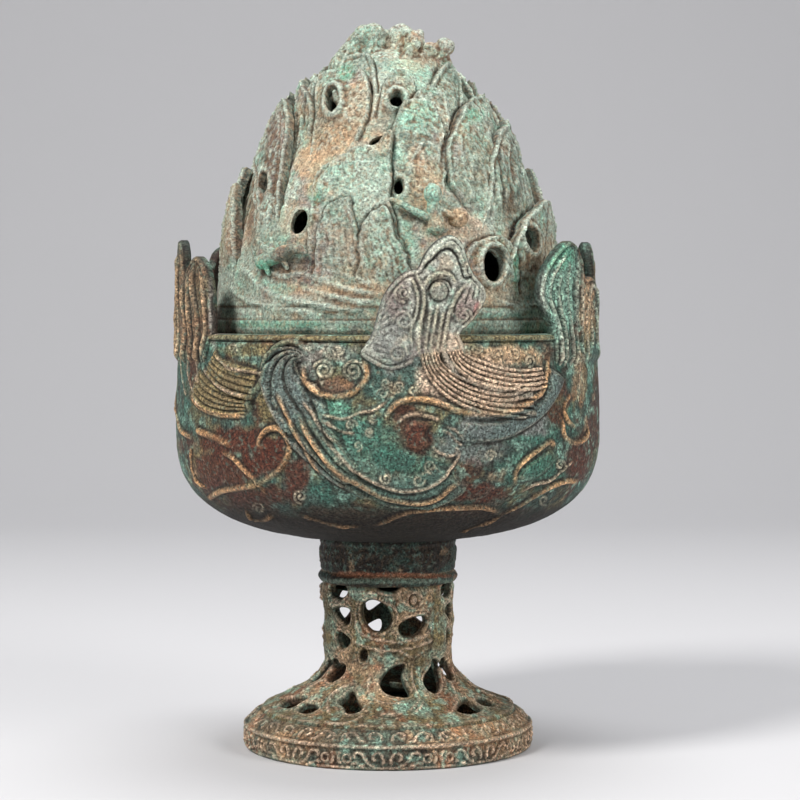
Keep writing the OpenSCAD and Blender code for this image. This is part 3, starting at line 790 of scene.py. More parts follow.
CREST_ROOM = 42.0
belly_r, belly_z = belly_arc(BOWL_R, BELLY - BOWL_BASE, COLLAR_R + 1.0, 120)
up = np.linspace(0.0, 1.0, 60)[1:]
bowl_wall = Wall(
    np.concatenate([belly_r[::-1], BOWL_R - (BOWL_R - BOWL_TOP_R) * up ** 2, [BOWL_TOP_R - 0.2]]),
    np.concatenate([BELLY + belly_z[::-1], BELLY + (SEAT - BELLY) * up, [SEAT + CREST_ROOM]]),
    BOWL_R,
)
RIM_S = float(bowl_wall.along(SEAT))


def on_bowl(points, step=0.7):
    """A smooth line drawn in the front view, laid on the bowl."""
    return spaced(bowl_wall.sheet(curve(points, 2.0)), step)


# Striated bands on the bowl: two edges in the front view, lift, number of lines, their depth, colour.
BANDS = [
    ([(419, 350), (422, 364), (430, 378), (444, 391), (462, 401), (482, 407), (506, 408), (526, 401)],
     [(438, 348), (442, 364), (452, 376), (468, 386), (488, 393), (508, 397), (536, 396)],
     2.0, 6, 1.2, TAN),
    ([(439, 347), (444, 362), (454, 373), (470, 382), (490, 389), (510, 393), (537, 393)], [(445, 346),
      (450, 360), (460, 371), (478, 379), (500, 385), (520, 388), (542, 386)], 1.9, 0, 0.0, GREY),
    ([(446, 346), (451, 360), (461, 371), (479, 379), (501, 385), (521, 387), (542, 385)], [(460, 346),
      (464, 356), (474, 363), (490, 369), (510, 373), (530, 373), (547, 369)], 1.8, 5, 1.1, TAN),
    ([(466, 431), (480, 436), (496, 437), (512, 434), (530, 425), (545, 412), (556, 395), (562, 378)],
     [(454, 412), (470, 416), (490, 417), (508, 414), (524, 405), (537, 395), (546, 380), (550, 362)],
     2.6, 0, 0.0, STEEL),
    ([(217, 356), (229, 367), (244, 371), (264, 374)], [(205, 366), (214, 379), (230, 390), (250, 396)],
     1.6, 5, 0.9, OLIVE),
    ([(201, 370), (211, 381), (228, 392), (249, 398)], [(192, 394), (203, 408), (221, 414), (248, 415)],
     1.6, 5, 0.9, OLIVE),
    ([(306, 358), (299, 348), (287, 345), (277, 351), (272, 362), (273, 375), (280, 388), (289, 405),
      (299, 425), (311, 447), (327, 468), (344, 482)], [(306, 361), (302, 362), (297, 363), (294, 367),
      (294, 375), (298, 386), (306, 401), (317, 420), (330, 440), (344, 457), (358, 470), (366, 476)],
     2.4, 5, 1.1, STEEL),
    ([(300, 412), (311, 434), (325, 456), (344, 474), (365, 486), (382, 495), (400, 499), (418, 501),
      (438, 495), (449, 486)], [(318, 420), (326, 437), (339, 452), (359, 472), (377, 482), (400, 489),
      (426, 486), (444, 475), (455, 464), (458, 456)], 1.8, 0, 0.0, TEAL),
]

# Ridge lines on the bowl: points in the front view, width and height.
RIDGES = [
    ([(388, 430), (387, 417), (393, 407), (402, 401), (414, 399), (428, 400), (442, 404), (458, 411),
      (478, 414), (497, 413), (512, 409), (527, 400), (539, 391), (545, 376), (548, 358), (548, 348)],
     1.3, 1.2),
    ([(398, 425), (403, 418), (414, 414), (426, 416), (441, 420)], 1.0, 0.9),
    ([(431, 446), (440, 453), (451, 456), (457, 452), (455, 446)], 0.8, 0.7),
    ([(441, 430), (450, 434), (456, 441), (463, 446)], 0.7, 0.6),
    ([(446, 427), (455, 430), (461, 437)], 0.7, 0.6),
    ([(279, 391), (287, 410), (295, 428), (304, 446), (313, 462), (322, 477)], 1.1, 0.9),
    ([(304, 400), (316, 416), (328, 434), (338, 442)], 0.9, 0.7),
    ([(300, 412), (311, 434), (325, 456), (344, 474), (365, 486), (382, 495), (400, 499), (418, 501),
      (438, 495), (449, 486), (461, 479)], 1.2, 1.0),
    ([(326, 437), (339, 452), (359, 472), (377, 482), (400, 489), (426, 486), (444, 475), (457, 460),
      (459, 452), (453, 444)], 1.0, 0.9),
    ([(374, 526), (388, 520), (403, 514), (434, 509), (464, 507), (487, 508), (501, 514)], 1.3, 1.1),
    ([(500, 515), (520, 505), (533, 497), (553, 485), (567, 481), (578, 482)], 1.3, 1.1),
    ([(460, 532), (484, 523), (502, 515)], 1.1, 0.9),
    ([(515, 486), (515, 476), (518, 467), (526, 459), (541, 448), (550, 442), (556, 447)], 1.2, 1.0),
    ([(519, 493), (533, 485), (551, 480), (564, 468), (573, 462)], 1.0, 0.8),
    ([(570, 394), (564, 408), (567, 420), (576, 428)], 1.1, 0.9),
    ([(562, 418), (565, 437), (577, 443), (586, 436), (588, 424)], 1.2, 1.0),
    ([(580, 350), (580, 370), (579, 392)], 0.8, 0.6),
    ([(303, 362), (305, 379), (313, 388), (328, 396), (344, 396), (357, 390), (366, 378), (365, 366),
      (358, 359)], 1.3, 1.1),
    ([(217, 356), (229, 367), (244, 371), (265, 374)], 1.0, 0.8),
    ([(203, 368), (212, 380), (229, 391), (249, 397)], 1.0, 0.8),
    ([(191, 396), (203, 409), (221, 415), (248, 416)], 1.1, 0.9),
    ([(188, 350), (189, 376), (195, 396), (204, 408)], 0.9, 0.8),
    ([(195, 350), (197, 370), (203, 386)], 0.8, 0.7), ([(181, 352), (182, 376), (187, 398)], 0.8, 0.7),
    ([(175, 394), (178, 419), (184, 433), (193, 438)], 1.1, 0.9),
    ([(221, 451), (232, 457), (246, 471), (258, 483), (267, 496)], 1.2, 1.0),
    ([(208, 499), (221, 491), (237, 488), (255, 485), (270, 477), (281, 468), (289, 452), (287, 437),
      (279, 429), (269, 429), (261, 437), (259, 445), (267, 448)], 1.3, 1.1),
    ([(196, 430), (211, 436), (224, 442), (232, 445)], 1.5, 1.1),
    ([(192, 446), (192, 468), (197, 480), (208, 489)], 1.1, 0.9),
    ([(246, 509), (252, 518), (264, 520), (273, 514)], 1.2, 0.9),
    ([(322, 414), (344, 419), (359, 413), (374, 410), (390, 399)], 0.8, 0.7),
    ([(326, 421), (340, 431), (356, 434)], 0.8, 0.6), ([(300, 515), (330, 524), (362, 527)], 1.1, 0.8),
    ([(360, 355), (374, 366), (388, 372), (401, 370), (410, 359)], 1.0, -0.8),
]

# The thick rim of the left wave, in the front view.
HOOK = [
    (251, 414), (250, 401), (256, 390), (265, 379), (268, 366), (272, 353), (281, 345), (292, 342),
    (303, 347), (309, 359),
]

# Coils on the bowl and its crests: centre, radius, turns, start, line width and height.
COILS = [
    (324, 370, 10, 1.8, 200, 1.0, 0.9), (353, 371, 11, -1.9, 0, 1.0, 0.9),
    (301, 496, 7, 1.4, 90, 0.9, 0.7), (478, 350, 6, 1.5, 180, 0.7, 0.6), (496, 354, 6, -1.5, 0, 0.7, 0.6),
    (514, 355, 6, 1.5, 180, 0.7, 0.6), (529, 361, 6, -1.4, 90, 0.7, 0.6), (386, 383, 6, 1.4, 0, 0.7, 0.6),
    (398, 387, 6, -1.4, 90, 0.7, 0.6), (383, 394, 6, 1.3, 180, 0.7, 0.6),
    (414, 390, 5, 1.3, 40, 0.7, 0.6), (373, 418, 5, 1.3, 40, 0.7, 0.6), (351, 425, 6, -1.3, 0, 0.7, 0.6),
    (370, 432, 5, 1.3, 60, 0.7, 0.5), (358, 446, 5, -1.2, 90, 0.7, 0.5),
    (386, 477, 6, -1.2, 200, 0.7, 0.6), (418, 479, 6, 1.2, 0, 0.7, 0.6), (403, 293, 9, 1.9, 90, 0.9, 0.9),
    (403, 321, 10, 1.8, 180, 0.9, 0.9), (398, 354, 9, -1.8, 0, 0.9, 0.9),
    (461, 316, 8, -1.8, 0, 0.9, 0.9), (259, 508, 6, 1.3, 200, 0.8, 0.6),
    (233, 348, 5, -1.3, 60, 0.7, 0.5), (560, 465, 6, -1.4, 90, 0.8, 0.6), (338, 350, 6, 1.4, 0, 0.7, 0.5),
    (310, 346, 5, -1.4, 180, 0.7, 0.5), (340, 458, 5, 1.3, 0, 0.7, 0.5), (430, 466, 6, 1.4, 90, 0.7, 0.5),
    (490, 456, 6, -1.3, 0, 0.8, 0.5), (544, 500, 6, 1.3, 0, 0.8, 0.5),
]

# Smooth raised shapes on the bowl: closed outlines in the front view, lift and softness.
MOUNDS = [
    ([(402, 434), (405, 424), (412, 419), (424, 418), (440, 421), (430, 429), (427, 436), (432, 444),
      (425, 451), (414, 453), (405, 448), (400, 440)], 1.3, 2.2),
    ([(518, 482), (519, 470), (528, 460), (542, 450), (552, 448), (556, 458), (548, 470), (534, 480)],
     0.8, 2.0),
    ([(268, 402), (276, 394), (284, 404), (292, 424), (296, 440), (286, 446), (276, 424), (266, 416)],
     0.7, 2.2),
]


def bowl_relief(xy):
    """Heights of the bowl's and the crests' ornament at points of the unrolled wall."""
    rel = Relief(xy)
    for loop, lift, soft in MOUNDS:
        rel.mound(spaced(bowl_wall.sheet(curve(loop, 2.0, True)), 0.8), lift, soft)
    for a, b, lift, lines, depth, colour in BANDS:
        rel.band(on_bowl(a), on_bowl(b), lift, lines, depth, colour)
    for points, w, h in RIDGES:
        wide = 1.25 if w > 1.0 else 1.0
        colour = None if h < 0.0 else AMBER if w > 1.0 else TAN
        line = on_bowl(points)
        if h > 0.0:
            rel.stroke(line - np.array([0.0, 1.5 * wide * w]), w, -0.9 * h)
        rel.stroke(line, wide * w, 1.15 * wide * h, 0.12, colour)
    rel.stroke(on_bowl(HOOK), 1.9, 2.4, 0.08, SEA)
    for x, y, r, turns, start, w, h in COILS:
        rel.stroke(spaced(bowl_wall.sheet(coil(x, y, r, turns, start)), 0.6), w, h, 0.0, CREAM)
    return rel


# The three wide dark bands low on the bowl, at 512, 522 and 540, are painted shade on its underside.
BOWL_SPOTS = [
    (340, 440, 56, 34, SEA, 0.6), (390, 455, 44, 30, SEA, 0.5), (330, 408, 20, 10, JADE, 0.35),
    (540, 466, 24, 20, SEA, 0.85), (530, 462, 14, 12, JADE, 0.3), (370, 486, 30, 8, DARK, 0.4),
    (300, 450, 10, 40, DARK, 0.3), (225, 440, 60, 40, DARK, 0.35), (510, 470, 70, 30, DARK, 0.25),
    (535, 432, 26, 14, SEA, 0.7), (272, 402, 14, 22, OLIVE, 0.7), (205, 458, 14, 20, OLIVE, 0.6),
    (240, 385, 34, 20, OLIVE, 0.5), (298, 375, 16, 26, SLATE, 0.6), (500, 425, 50, 12, SLATE, 0.9),
    (470, 440, 34, 22, SLATE, 0.5), (330, 352, 30, 10, GREY, 0.5), (335, 385, 20, 8, RUST, 0.5),
    (240, 442, 50, 17, CUPRITE, 0.95), (264, 450, 24, 22, CUPRITE, 0.95),
    (226, 470, 30, 22, CUPRITE, 0.9), (300, 478, 14, 24, CUPRITE, 0.9), (258, 500, 40, 15, CUPRITE, 0.9),
    (416, 437, 17, 17, CUPRITE, 0.95), (404, 409, 14, 5, CUPRITE, 0.85), (475, 494, 36, 10, CUPRITE, 0.8),
    (440, 518, 60, 8, CUPRITE, 0.8), (576, 460, 12, 20, CUPRITE, 0.8), (505, 356, 36, 10, EARTH, 0.85),
    (478, 384, 62, 24, TAN, 0.8), (446, 352, 20, 20, TAN, 0.75), (225, 390, 36, 26, BROWN, 0.6),
    (330, 520, 60, 10, BROWN, 0.4), (579, 380, 8, 30, OCHRE, 0.4), (250, 350, 30, 6, OLIVE, 0.6),
    (388, 540, 220, 24, SHADE_BLACK, 0.97), (388, 522, 220, 14, UMBER, 0.7), (390, 322, 22, 48, SLATE, 0.7),
    (398, 300, 12, 18, PLUM, 0.5), (441, 246, 26, 12, PALE, 0.5), (438, 291, 14, 12, UMBER, 0.45),
    (466, 304, 13, 22, PLUM, 0.6), (478, 314, 4, 14, ROSE, 0.7), (432, 330, 12, 24, UMBER, 0.5),
    (398, 355, 26, 14, SLATE, 0.5), (558, 300, 22, 62, TEAL, 0.8), (556, 296, 20, 54, MINT, 0.6),
    (558, 256, 14, 14, JADE, 0.6), (542, 300, 5, 26, PALE, 0.7), (587, 310, 8, 30, EARTH, 0.7),
    (190, 300, 26, 56, BROWN, 0.6), (214, 300, 5, 40, STONE, 0.8), (388, 512, 170, 8, UMBER, 0.4),
]


# Heights on the bowl: the plain band under its rim, the groove below that, the rim's rounded edge, then
# where the carving begins and where the painted shade on the underside ends.
BAND_Z = 158.5
BAND_GROOVE_Z = 158.1
RIM_EDGE_Z = 159.7
CARVED_Z = 97.0
SHADE_Z = 106.0


def make_bowl():
    front = np.linspace(-90.0, 90.0, 700)
    rear = np.linspace(90.0, 270.0, 300)[1:-1]
    az = np.concatenate([front, rear])
    carved_s = float(bowl_wall.along(CARVED_Z))
    low = np.linspace(0.0, carved_s, 40, endpoint=False)
    high = np.linspace(carved_s, RIM_S - 0.3, 150)
    s = np.concatenate([low, high])
    gs, ga = np.meshgrid(s, az, indexing="ij")
    local = np.where(ga > 90.0, ga - 180.0, ga)
    xy = np.stack([local.ravel() * bowl_wall.k, gs.ravel()], -1)
    rel = bowl_relief(xy)
    z = bowl_wall.height(xy[:, 1])
    # The plain band under the rim, with a groove below it.
    bare = 1.0 - ease(rel.h / 0.8)
    rel.h = np.maximum(rel.h, 0.4 * ease((z - BAND_Z) / 0.4)) - 0.8 * bare * bell(z - BAND_GROOVE_Z, 0.6)
    rel.h -= 0.9 * ease((z - RIM_EDGE_Z) / 0.9)
    p = bowl_wall.at(ga.ravel(), gs.ravel(), rel.h)
    rel.h += uneven(p, 0.35, 9.0, 101) + uneven(p, 0.14, 2.2, 103, 2)
    outer = bowl_wall.at(ga.ravel(), gs.ravel(), rel.h)
    # From the rim over the seat, the lip and the inside down to the floor, then back under the base.
    arc_r, arc_z = belly_arc(BOWL_R - 1.5, BELLY - BOWL_BASE - BOWL_FLOOR, 13.0, 16)
    rest = [
        (79.6, SEAT), (72.0, SEAT + 0.1), (LIP_R + 0.3, SEAT), (LIP_R, SEAT + 0.6),
        (LIP_R, SEAT + LIP_H - 0.4), (LIP_R - 0.4, SEAT + LIP_H), (MOUTH_R + 0.4, SEAT + LIP_H),
        (MOUTH_R, SEAT + LIP_H - 0.4), (MOUTH_R, SEAT - 1.5),
        (77.0, SEAT - 1.6), (78.8, SEAT - 4.0), (79.8, 140.0),
    ]
    rest += [(r, BELLY + zz) for r, zz in zip(arc_r, arc_z)]
    rest += [(RIVET_BORE_R, BOWL_BASE + BOWL_FLOOR), (RIVET_BORE_R, BOWL_BASE), (COLLAR_R, BOWL_BASE)]
    rr, ra = np.meshgrid([q[0] for q in rest], az, indexing="ij")
    rz = np.repeat([q[1] for q in rest], len(az))
    inner = on_circle(rr.ravel(), ra.ravel(), rz)
    verts = np.vstack([outer, inner])
    rows = len(s) + len(rest)
    faces = grid_quads(rows, len(az), True)
    h = np.concatenate([rel.h, np.zeros(len(inner))])
    cav = h - mean_round(h, [faces], 9)
    cav[len(outer):] = 0.0
    share = np.concatenate([rel.share, np.zeros(len(inner))])
    paint = (np.vstack([rel.tint, np.zeros((len(inner), 3))]), share)
    tint, wear = patina(verts, cav, STYLE_BOWL, BOWL_SPOTS, paint)
    # Painted shade on the underside, lighter on the painted bands. There the wear drops too, so it is
    # rougher and holds fewer pale specks.
    under = ease((SHADE_Z - verts[:, 2]) / 15.0)
    under = under * (1.0 - 0.5 * share)
    tint = toward(tint, SHADE_BLACK, 0.93 * under)
    wear = wear * (1.0 - 0.95 * under)
    tint[:len(outer)] = toward(tint[:len(outer)], OLIVE, 0.6 * bare * ease((z - BAND_Z + 0.1) / 0.5))
    # Painted shade on the inner skin, inside the mouth and below the seat.
    inside_shade = ease((rr.ravel() < MOUTH_R + 0.2) * 1.0 + (rz < SEAT - 1.0) * 1.0)
    tint[len(outer):] = toward(tint[len(outer):], SHADE_BLACK, 0.75 * inside_shade)
    cell = 0.62
    across = np.tile(np.arange(len(az)) * cell, rows)
    flat = np.stack([across, np.repeat(np.arange(rows) * cell, len(az))], -1)
    piece = Piece()
    piece.add_round(verts, faces, len(az), flat, tint, wear, 0.002)
    piece.build("bowl_body", "stand", "bowl", MAT_BOWL)


make_bowl()


# Crests that stand on the rim: the middle one's outline in the front view, the side ones' on the
# unrolled wall as azimuth and height over the seat. The lowest points sink into the bowl's wall.
CREST_FRONT = [
    (360, 354), (366, 343), (372, 333), (376, 318), (381, 301), (389, 286), (403, 273), (412, 270),
    (418, 268), (424, 256), (431, 246), (441, 238), (452, 235), (463, 244), (467, 257), (473, 273),
    (484, 287), (486, 297), (480, 311), (468, 325), (460, 334), (464, 346), (466, 358), (442, 364),
    (420, 364), (410, 365), (401, 369), (388, 371), (374, 365),
]
CREST_RIGHT = [
    (50.0, -16.0), (49.0, -8.0), (48.5, 2.0), (46.0, 8.0), (43.5, 13.0), (44.0, 20.0), (47.5, 27.0),
    (52.0, 32.0), (57.0, 34.4), (61.5, 32.0), (64.5, 26.0), (66.0, 20.5), (70.0, 21.5), (75.0, 20.5),
    (79.0, 16.0), (81.0, 8.0), (81.5, 1.0), (82.0, -16.0),
]
CREST_LEFT = [
    (-84.0, -16.0), (-84.0, 1.0), (-85.0, 10.0), (-85.0, 22.0), (-82.5, 31.0), (-78.5, 35.4),
    (-74.5, 31.0), (-73.0, 23.0), (-70.5, 21.0), (-67.0, 25.5), (-62.0, 28.8), (-57.5, 26.0),
    (-54.5, 18.0), (-53.5, 9.0), (-53.5, 1.0), (-55.0, -8.0), (-58.0, -16.0),
]


def wall_points(points):
    """Points given as azimuth and height over the seat, on the unrolled wall."""
    p = np.asarray(points, float)
    return np.stack([p[:, 0] * bowl_wall.k, RIM_S + p[:, 1]], -1)


# Lines on the side crests' faces, as azimuth and height over the seat: points, width, height.
CREST_LINES = [
    ([(51.6, -14.0), (50.6, 0.0), (48.4, 7.5), (46.6, 13.0), (47.0, 19.0), (50.0, 25.0), (54.0, 29.6)],
     1.3, 1.2),
    ([(51.8, 22.0), (50.2, 16.0), (51.0, 8.0), (53.4, -1.0), (53.6, -14.0)], 1.0, 1.1),
    ([(55.4, 27.0), (54.0, 19.0), (54.8, 10.0), (56.4, -1.0), (56.4, -14.0)], 1.0, 1.1),
    ([(60.0, 30.0), (59.4, 24.0), (58.2, 16.0), (58.4, 7.0), (59.2, -2.0), (59.0, -14.0)], 1.3, 1.3),
    ([(63.2, 25.0), (62.2, 16.0), (62.6, 4.0), (62.4, -12.0)], 1.0, 1.0),
    ([(66.0, -12.0), (66.5, 10.0), (69.0, 17.0), (73.0, 17.6), (76.5, 13.0), (78.0, -12.0)], 1.2, 1.0),
    ([(69.5, -6.0), (70.0, 7.0), (72.0, 11.0), (74.5, 8.0), (75.0, -6.0)], 1.0, 0.9),
    ([(-82.0, -12.0), (-82.5, 16.0), (-80.8, 26.0), (-78.6, 30.0)], 1.2, 1.0),
    ([(-77.4, 27.0), (-77.8, 17.0), (-76.4, 6.0), (-75.4, -12.0)], 1.0, 1.0),
    ([(-70.6, 18.0), (-70.8, 12.0), (-69.4, 5.0), (-68.6, -3.0), (-70.0, -12.0)], 1.1, 1.1),
    ([(-66.8, 22.0), (-66.6, 14.0), (-65.2, 6.0), (-64.2, -3.0), (-64.6, -12.0)], 1.0, 1.1),
    ([(-62.8, 25.0), (-62.4, 17.0), (-60.8, 8.0), (-59.6, 0.0), (-59.8, -12.0)], 1.1, 1.2),
    ([(-58.6, 24.0), (-56.6, 18.0), (-55.8, 9.0), (-55.8, 1.0), (-57.0, -8.0)], 1.4, 1.0),
]
# Lines on the middle crest, in the front view: points, width, height.
CREST_FRONT_LINES = [
    ([(415, 272), (423, 292), (422, 312), (416, 332), (417, 346)], 0.9, 1.0),
    ([(410, 276), (417, 294), (416, 312), (410, 332), (411, 346)], 0.7, 0.7),
    ([(420, 271), (434, 257), (441, 250), (449, 249), (455, 255), (460, 266), (464, 278), (472, 276)],
     0.9, -1.1),
    ([(423, 286), (429, 278), (440, 273), (449, 275), (455, 284)], 1.0, 1.0),
    ([(427, 290), (432, 283), (440, 279), (448, 282), (451, 289)], 0.7, -0.8),
    ([(472, 280), (458, 292), (451, 308), (452, 318)], 0.9, 0.9),
    ([(481, 299), (474, 315), (463, 328)], 1.3, 0.8), ([(474, 284), (470, 300)], 0.6, -0.7),
    ([(479, 285), (475, 302)], 0.6, -0.7), ([(469, 287), (463, 304)], 0.6, -0.7),
    ([(424, 300), (420, 326), (418, 348), (422, 364)], 0.9, 0.9),
    ([(450, 304), (445, 330), (443, 348), (447, 364)], 0.9, 0.9),
    ([(437, 304), (433, 328), (430, 348), (434, 364)], 0.8, 0.6),
    ([(430, 310), (427, 330), (425, 348), (428, 364)], 0.7, 0.5),
    ([(443, 310), (439, 330), (437, 348), (440, 364)], 0.7, 0.5),
    ([(381, 318), (390, 311), (398, 309)], 0.6, -0.6), ([(380, 324), (390, 317), (396, 315)], 0.6, -0.6),
    ([(381, 330), (392, 323)], 0.6, -0.6), ([(384, 336), (393, 329)], 0.6, -0.6),
    ([(376, 345), (388, 349)], 0.6, -0.6), ([(375, 351), (387, 354)], 0.6, -0.6),
    ([(379, 358), (389, 359)], 0.6, -0.6),
]
# Leaves that swell on the middle crest: closed outlines in the front view, lift and softness.
CREST_MOUNDS = [
    ([(362, 352), (368, 338), (376, 318), (382, 300), (390, 286), (404, 275), (411, 275), (418, 294),
      (416, 312), (410, 332), (411, 350), (402, 366), (388, 369), (374, 363)], 1.0, 3.0),
    ([(472, 280), (484, 289), (484, 298), (478, 311), (466, 325), (458, 330), (452, 318), (452, 306),
      (460, 292)], 0.9, 2.0),
    ([(422, 268), (436, 244), (450, 238), (462, 248), (468, 268), (462, 276), (452, 252), (442, 252),
      (430, 262)], 0.9, 1.6),
]


# Places on the front crest in the front view: its knob, and the end of the leaf that hangs on its left.
CREST_KNOB = (438, 291)
CREST_LEAF_END = (414, 350)


def crest_relief(verts):
    """Heights of the crests' ornament at points of the unrolled wall."""
    rel = Relief(verts)
    for points, w, h in CREST_FRONT_LINES:
        rel.stroke(on_bowl(points), w, h, 0.08, CREAM if h > 0.0 else None)
    for points, w, h in CREST_LINES:
        line = spaced(curve(wall_points(points), 1.0), 0.7)
        rel.stroke(line + np.array([1.7 * w, 0.0]), w, -0.8 * h)
        rel.stroke(line, w, 1.3 * h, 0.08, PALE if points[0][0] > 0.0 else EARTH)
    for x, y, r, turns, start, w, h in COILS:
        rel.stroke(spaced(bowl_wall.sheet(coil(x, y, r, turns, start)), 0.6), w, h, 0.0)
    for loop, lift, soft in CREST_MOUNDS:
        rel.mound(spaced(bowl_wall.sheet(curve(loop, 2.0, True)), 0.8), lift, soft)
    knob = bowl_wall.sheet([CREST_KNOB])[0]
    d = np.hypot(*(verts - knob).T)
    rel.h += 1.4 * np.sqrt(np.clip(1.0 - (d / 3.3) ** 2, 0.0, 1.0))
    return rel


def make_crests():
    fronts = [
        bowl_wall.sheet(curve(CREST_FRONT, 2.0, True)),
        curve(wall_points(CREST_RIGHT), 1.0, True),
        curve(wall_points(CREST_LEFT), 1.0, True),
    ]
    leaf_end = float(bowl_wall.sheet([CREST_LEAF_END])[0][0])
    for k, loop in enumerate(fronts):
        rim = spaced(ringed(loop), 0.5)[:-1]
        verts, tris, rims = fill([rim], 0.55)
        rel = crest_relief(verts)
        edge, _ = reach(verts, ringed(rim))
        low = verts[:, 1] - RIM_S
        out = rel.h + 1.2 - 1.3 * np.clip(1.0 - edge / 1.2, 0.0, 1.0) ** 2
        out = out - 0.5 * bell(edge - 2.0, 0.6)
        # The front crest's left leaf hangs over the rim, and the rest runs into the bowl's wall.
        hung = ease((leaf_end + 1.5 - verts[:, 0]) / 3.0) if k == 0 else 0.0
        out = out - 2.8 * ease(((-8.0 if k else -4.5) - low) / 6.0) * (1.0 - hung)
        p = bowl_wall.at(verts[:, 0] / bowl_wall.k, verts[:, 1], out)
        out = out + uneven(p, 0.4, 8.0, 107) + uneven(p, 0.2, 2.0, 103, 2)
        back = -3.2 + 0.8 * np.clip(1.0 - edge / 1.3, 0.0, 1.0) ** 2
        back = np.where(low < 0.0, -1.2, back)
        for turn, number in ((0.0, k + 1), (180.0, k + 4)):
            piece = Piece()
            shell(piece, bowl_wall, verts, tris, rims, out, np.minimum(back, out - 0.4), bowl_wall.k, turn,
                  STYLE_BOWL if k else STYLE_CREST, BOWL_SPOTS, (), None, (rel.tint, rel.share))
            piece.build("crest_%d" % number, "stand", "wave_crest_%d" % number,
                        MAT_BOWL if k else MAT_CREST)


make_crests()


# The lid: its bands and mountain as one profile, and plates that overlap on it.
def hill_radius(t):
    """The mountain's radius at a share of its full height."""
    return HILL_R * (1.0 - t ** 1.5) ** 0.75


hill_t = np.linspace(0.0, HILL_CUT, 160)
lid_wall = Wall(
    np.concatenate([[66.9, LID_RIM_R, LID_RIM_R, LID_RIM_R - 0.5, LID_RIM_R - 0.5], hill_radius(hill_t)]),
    np.concatenate([[SEAT, SEAT + 0.8, SEAT + 5.5, SEAT + 6.0, HILL_Z - 0.5], HILL_Z + HILL_H * hill_t]),
    HILL_R,
)
HILL_S = float(lid_wall.along(HILL_Z))

# Smoke holes: centre in the front view, width, height, tilt to the right, and the lip's height.
HOLES = [
    (332, 104, 13, 24, 8, 1.6), (397, 101, 15, 15, 0, 1.5), (377, 141, 20, 8, -24, 0.5),
    (399, 187, 10, 16, 0, 1.0), (296, 222, 16, 26, 20, 1.2), (495, 266, 22, 33, -10, 1.8),
    (529, 243, 11, 25, -24, 0.9), (263, 186, 9, 20, 10, 0.6),
]
hole_loops = []
for x, y, w, h, tilt, lip in HOLES:
    a = np.arange(0.0, 360.0, 12.0) * RAD
    u = w / 2.0 * np.cos(a)
    v = -h / 2.0 * np.sin(a)
    ct, st = math.cos(tilt * RAD), math.sin(tilt * RAD)
    az, s = lid_wall.pick(np.stack([x + u * ct - v * st, y + u * st + v * ct], -1), 2.5)
    hole_loops.append((az, s, lip))

# Plates of the front half, back ones first: outline in the front view, how far the tip stands out,
# swell, lines along the edge, and furrows along the plate.
PLATES = [
    ([(330, 105), (336, 78), (344, 62), (356, 56), (370, 60), (376, 78), (374, 108)], 3.5, 0.6, 1, 0),
    ([(374, 132), (377, 104), (384, 84), (397, 74), (412, 79), (420, 96), (421, 118), (414, 134)],
     3.2, 0.7, 0, 0),
    ([(428, 118), (432, 90), (440, 74), (452, 68), (461, 80), (467, 104), (468, 124)], 4.2, 0.6, 1, 0),
    ([(404, 156), (408, 122), (411, 104), (418, 94), (431, 91), (444, 98), (450, 109), (454, 128),
      (452, 156)], 3.5, 0.5, 0, 0),
    ([(304, 168), (309, 126), (314, 98), (320, 81), (332, 76), (348, 75), (363, 76), (370, 92),
      (367, 118), (355, 142), (340, 162)], 3.9, 0.7, 0, 0),
    ([(290, 146), (293, 118), (297, 102), (300, 93), (304, 87), (309, 94), (312, 106), (311, 120),
      (306, 134), (300, 150)], 6.6, 0.4, 1, 0),
    ([(452, 160), (453, 132), (457, 116), (464, 109), (473, 104), (480, 113), (486, 128), (494, 152),
      (500, 180), (478, 182)], 6.6, 0.5, 0, 0),
    ([(390, 215), (390, 180), (390, 154), (390, 142), (391, 132), (396, 119), (405, 108), (417, 105),
      (430, 107), (439, 118), (445, 130), (448, 150), (448, 180), (446, 215)], 4.6, 0.9, 0, 0),
    ([(244, 252), (247, 228), (251, 204), (254, 184), (253, 168), (258, 152), (262, 133), (267, 131),
      (273, 126), (279, 112), (288, 102), (294, 111), (296, 128), (290, 151), (285, 169), (280, 188),
      (276, 208), (273, 232), (270, 254)], 8.0, 0.5, 1, 0),
    ([(486, 240), (488, 200), (489, 164), (493, 142), (501, 130), (507, 136), (511, 150), (520, 174),
      (530, 200), (540, 242)], 7.6, 0.7, 1, 2),
    ([(502, 256), (488, 234), (480, 217), (473, 210), (466, 202), (459, 193), (452, 186), (448, 174),
      (446, 160), (449, 141), (455, 127), (463, 110), (471, 113), (480, 124), (489, 140), (498, 170),
      (506, 204), (514, 256)], 5.4, 0.6, 0, 0),
    ([(296, 298), (302, 262), (307, 228), (311, 200), (315, 185), (325, 172), (335, 164), (347, 157),
      (357, 152), (367, 151), (375, 152), (381, 149), (386, 142), (391, 137), (396, 141), (393, 157),
      (391, 176), (392, 192), (395, 214), (404, 240), (417, 268), (430, 298)], 5.6, 0.8, 0, 0),
    ([(304, 298), (313, 262), (319, 226), (325, 211), (336, 204), (349, 200), (356, 222), (361, 246),
      (370, 298)], 4.9, 0.5, 0, 7),
    ([(350, 300), (357, 262), (362, 225), (370, 216), (378, 211), (384, 208), (390, 216), (399, 238),
      (410, 262), (424, 300)], 5.0, 0.6, 0, 9),
    ([(506, 300), (509, 270), (514, 244), (521, 222), (530, 211), (539, 207), (545, 215), (549, 226),
      (556, 240), (563, 272), (566, 300)], 7.0, 0.7, 0, 0),
    ([(456, 312), (460, 276), (470, 250), (483, 240), (495, 236), (509, 240), (519, 258), (524, 286),
      (522, 312)], 2.4, 0.6, 0, 0),
]

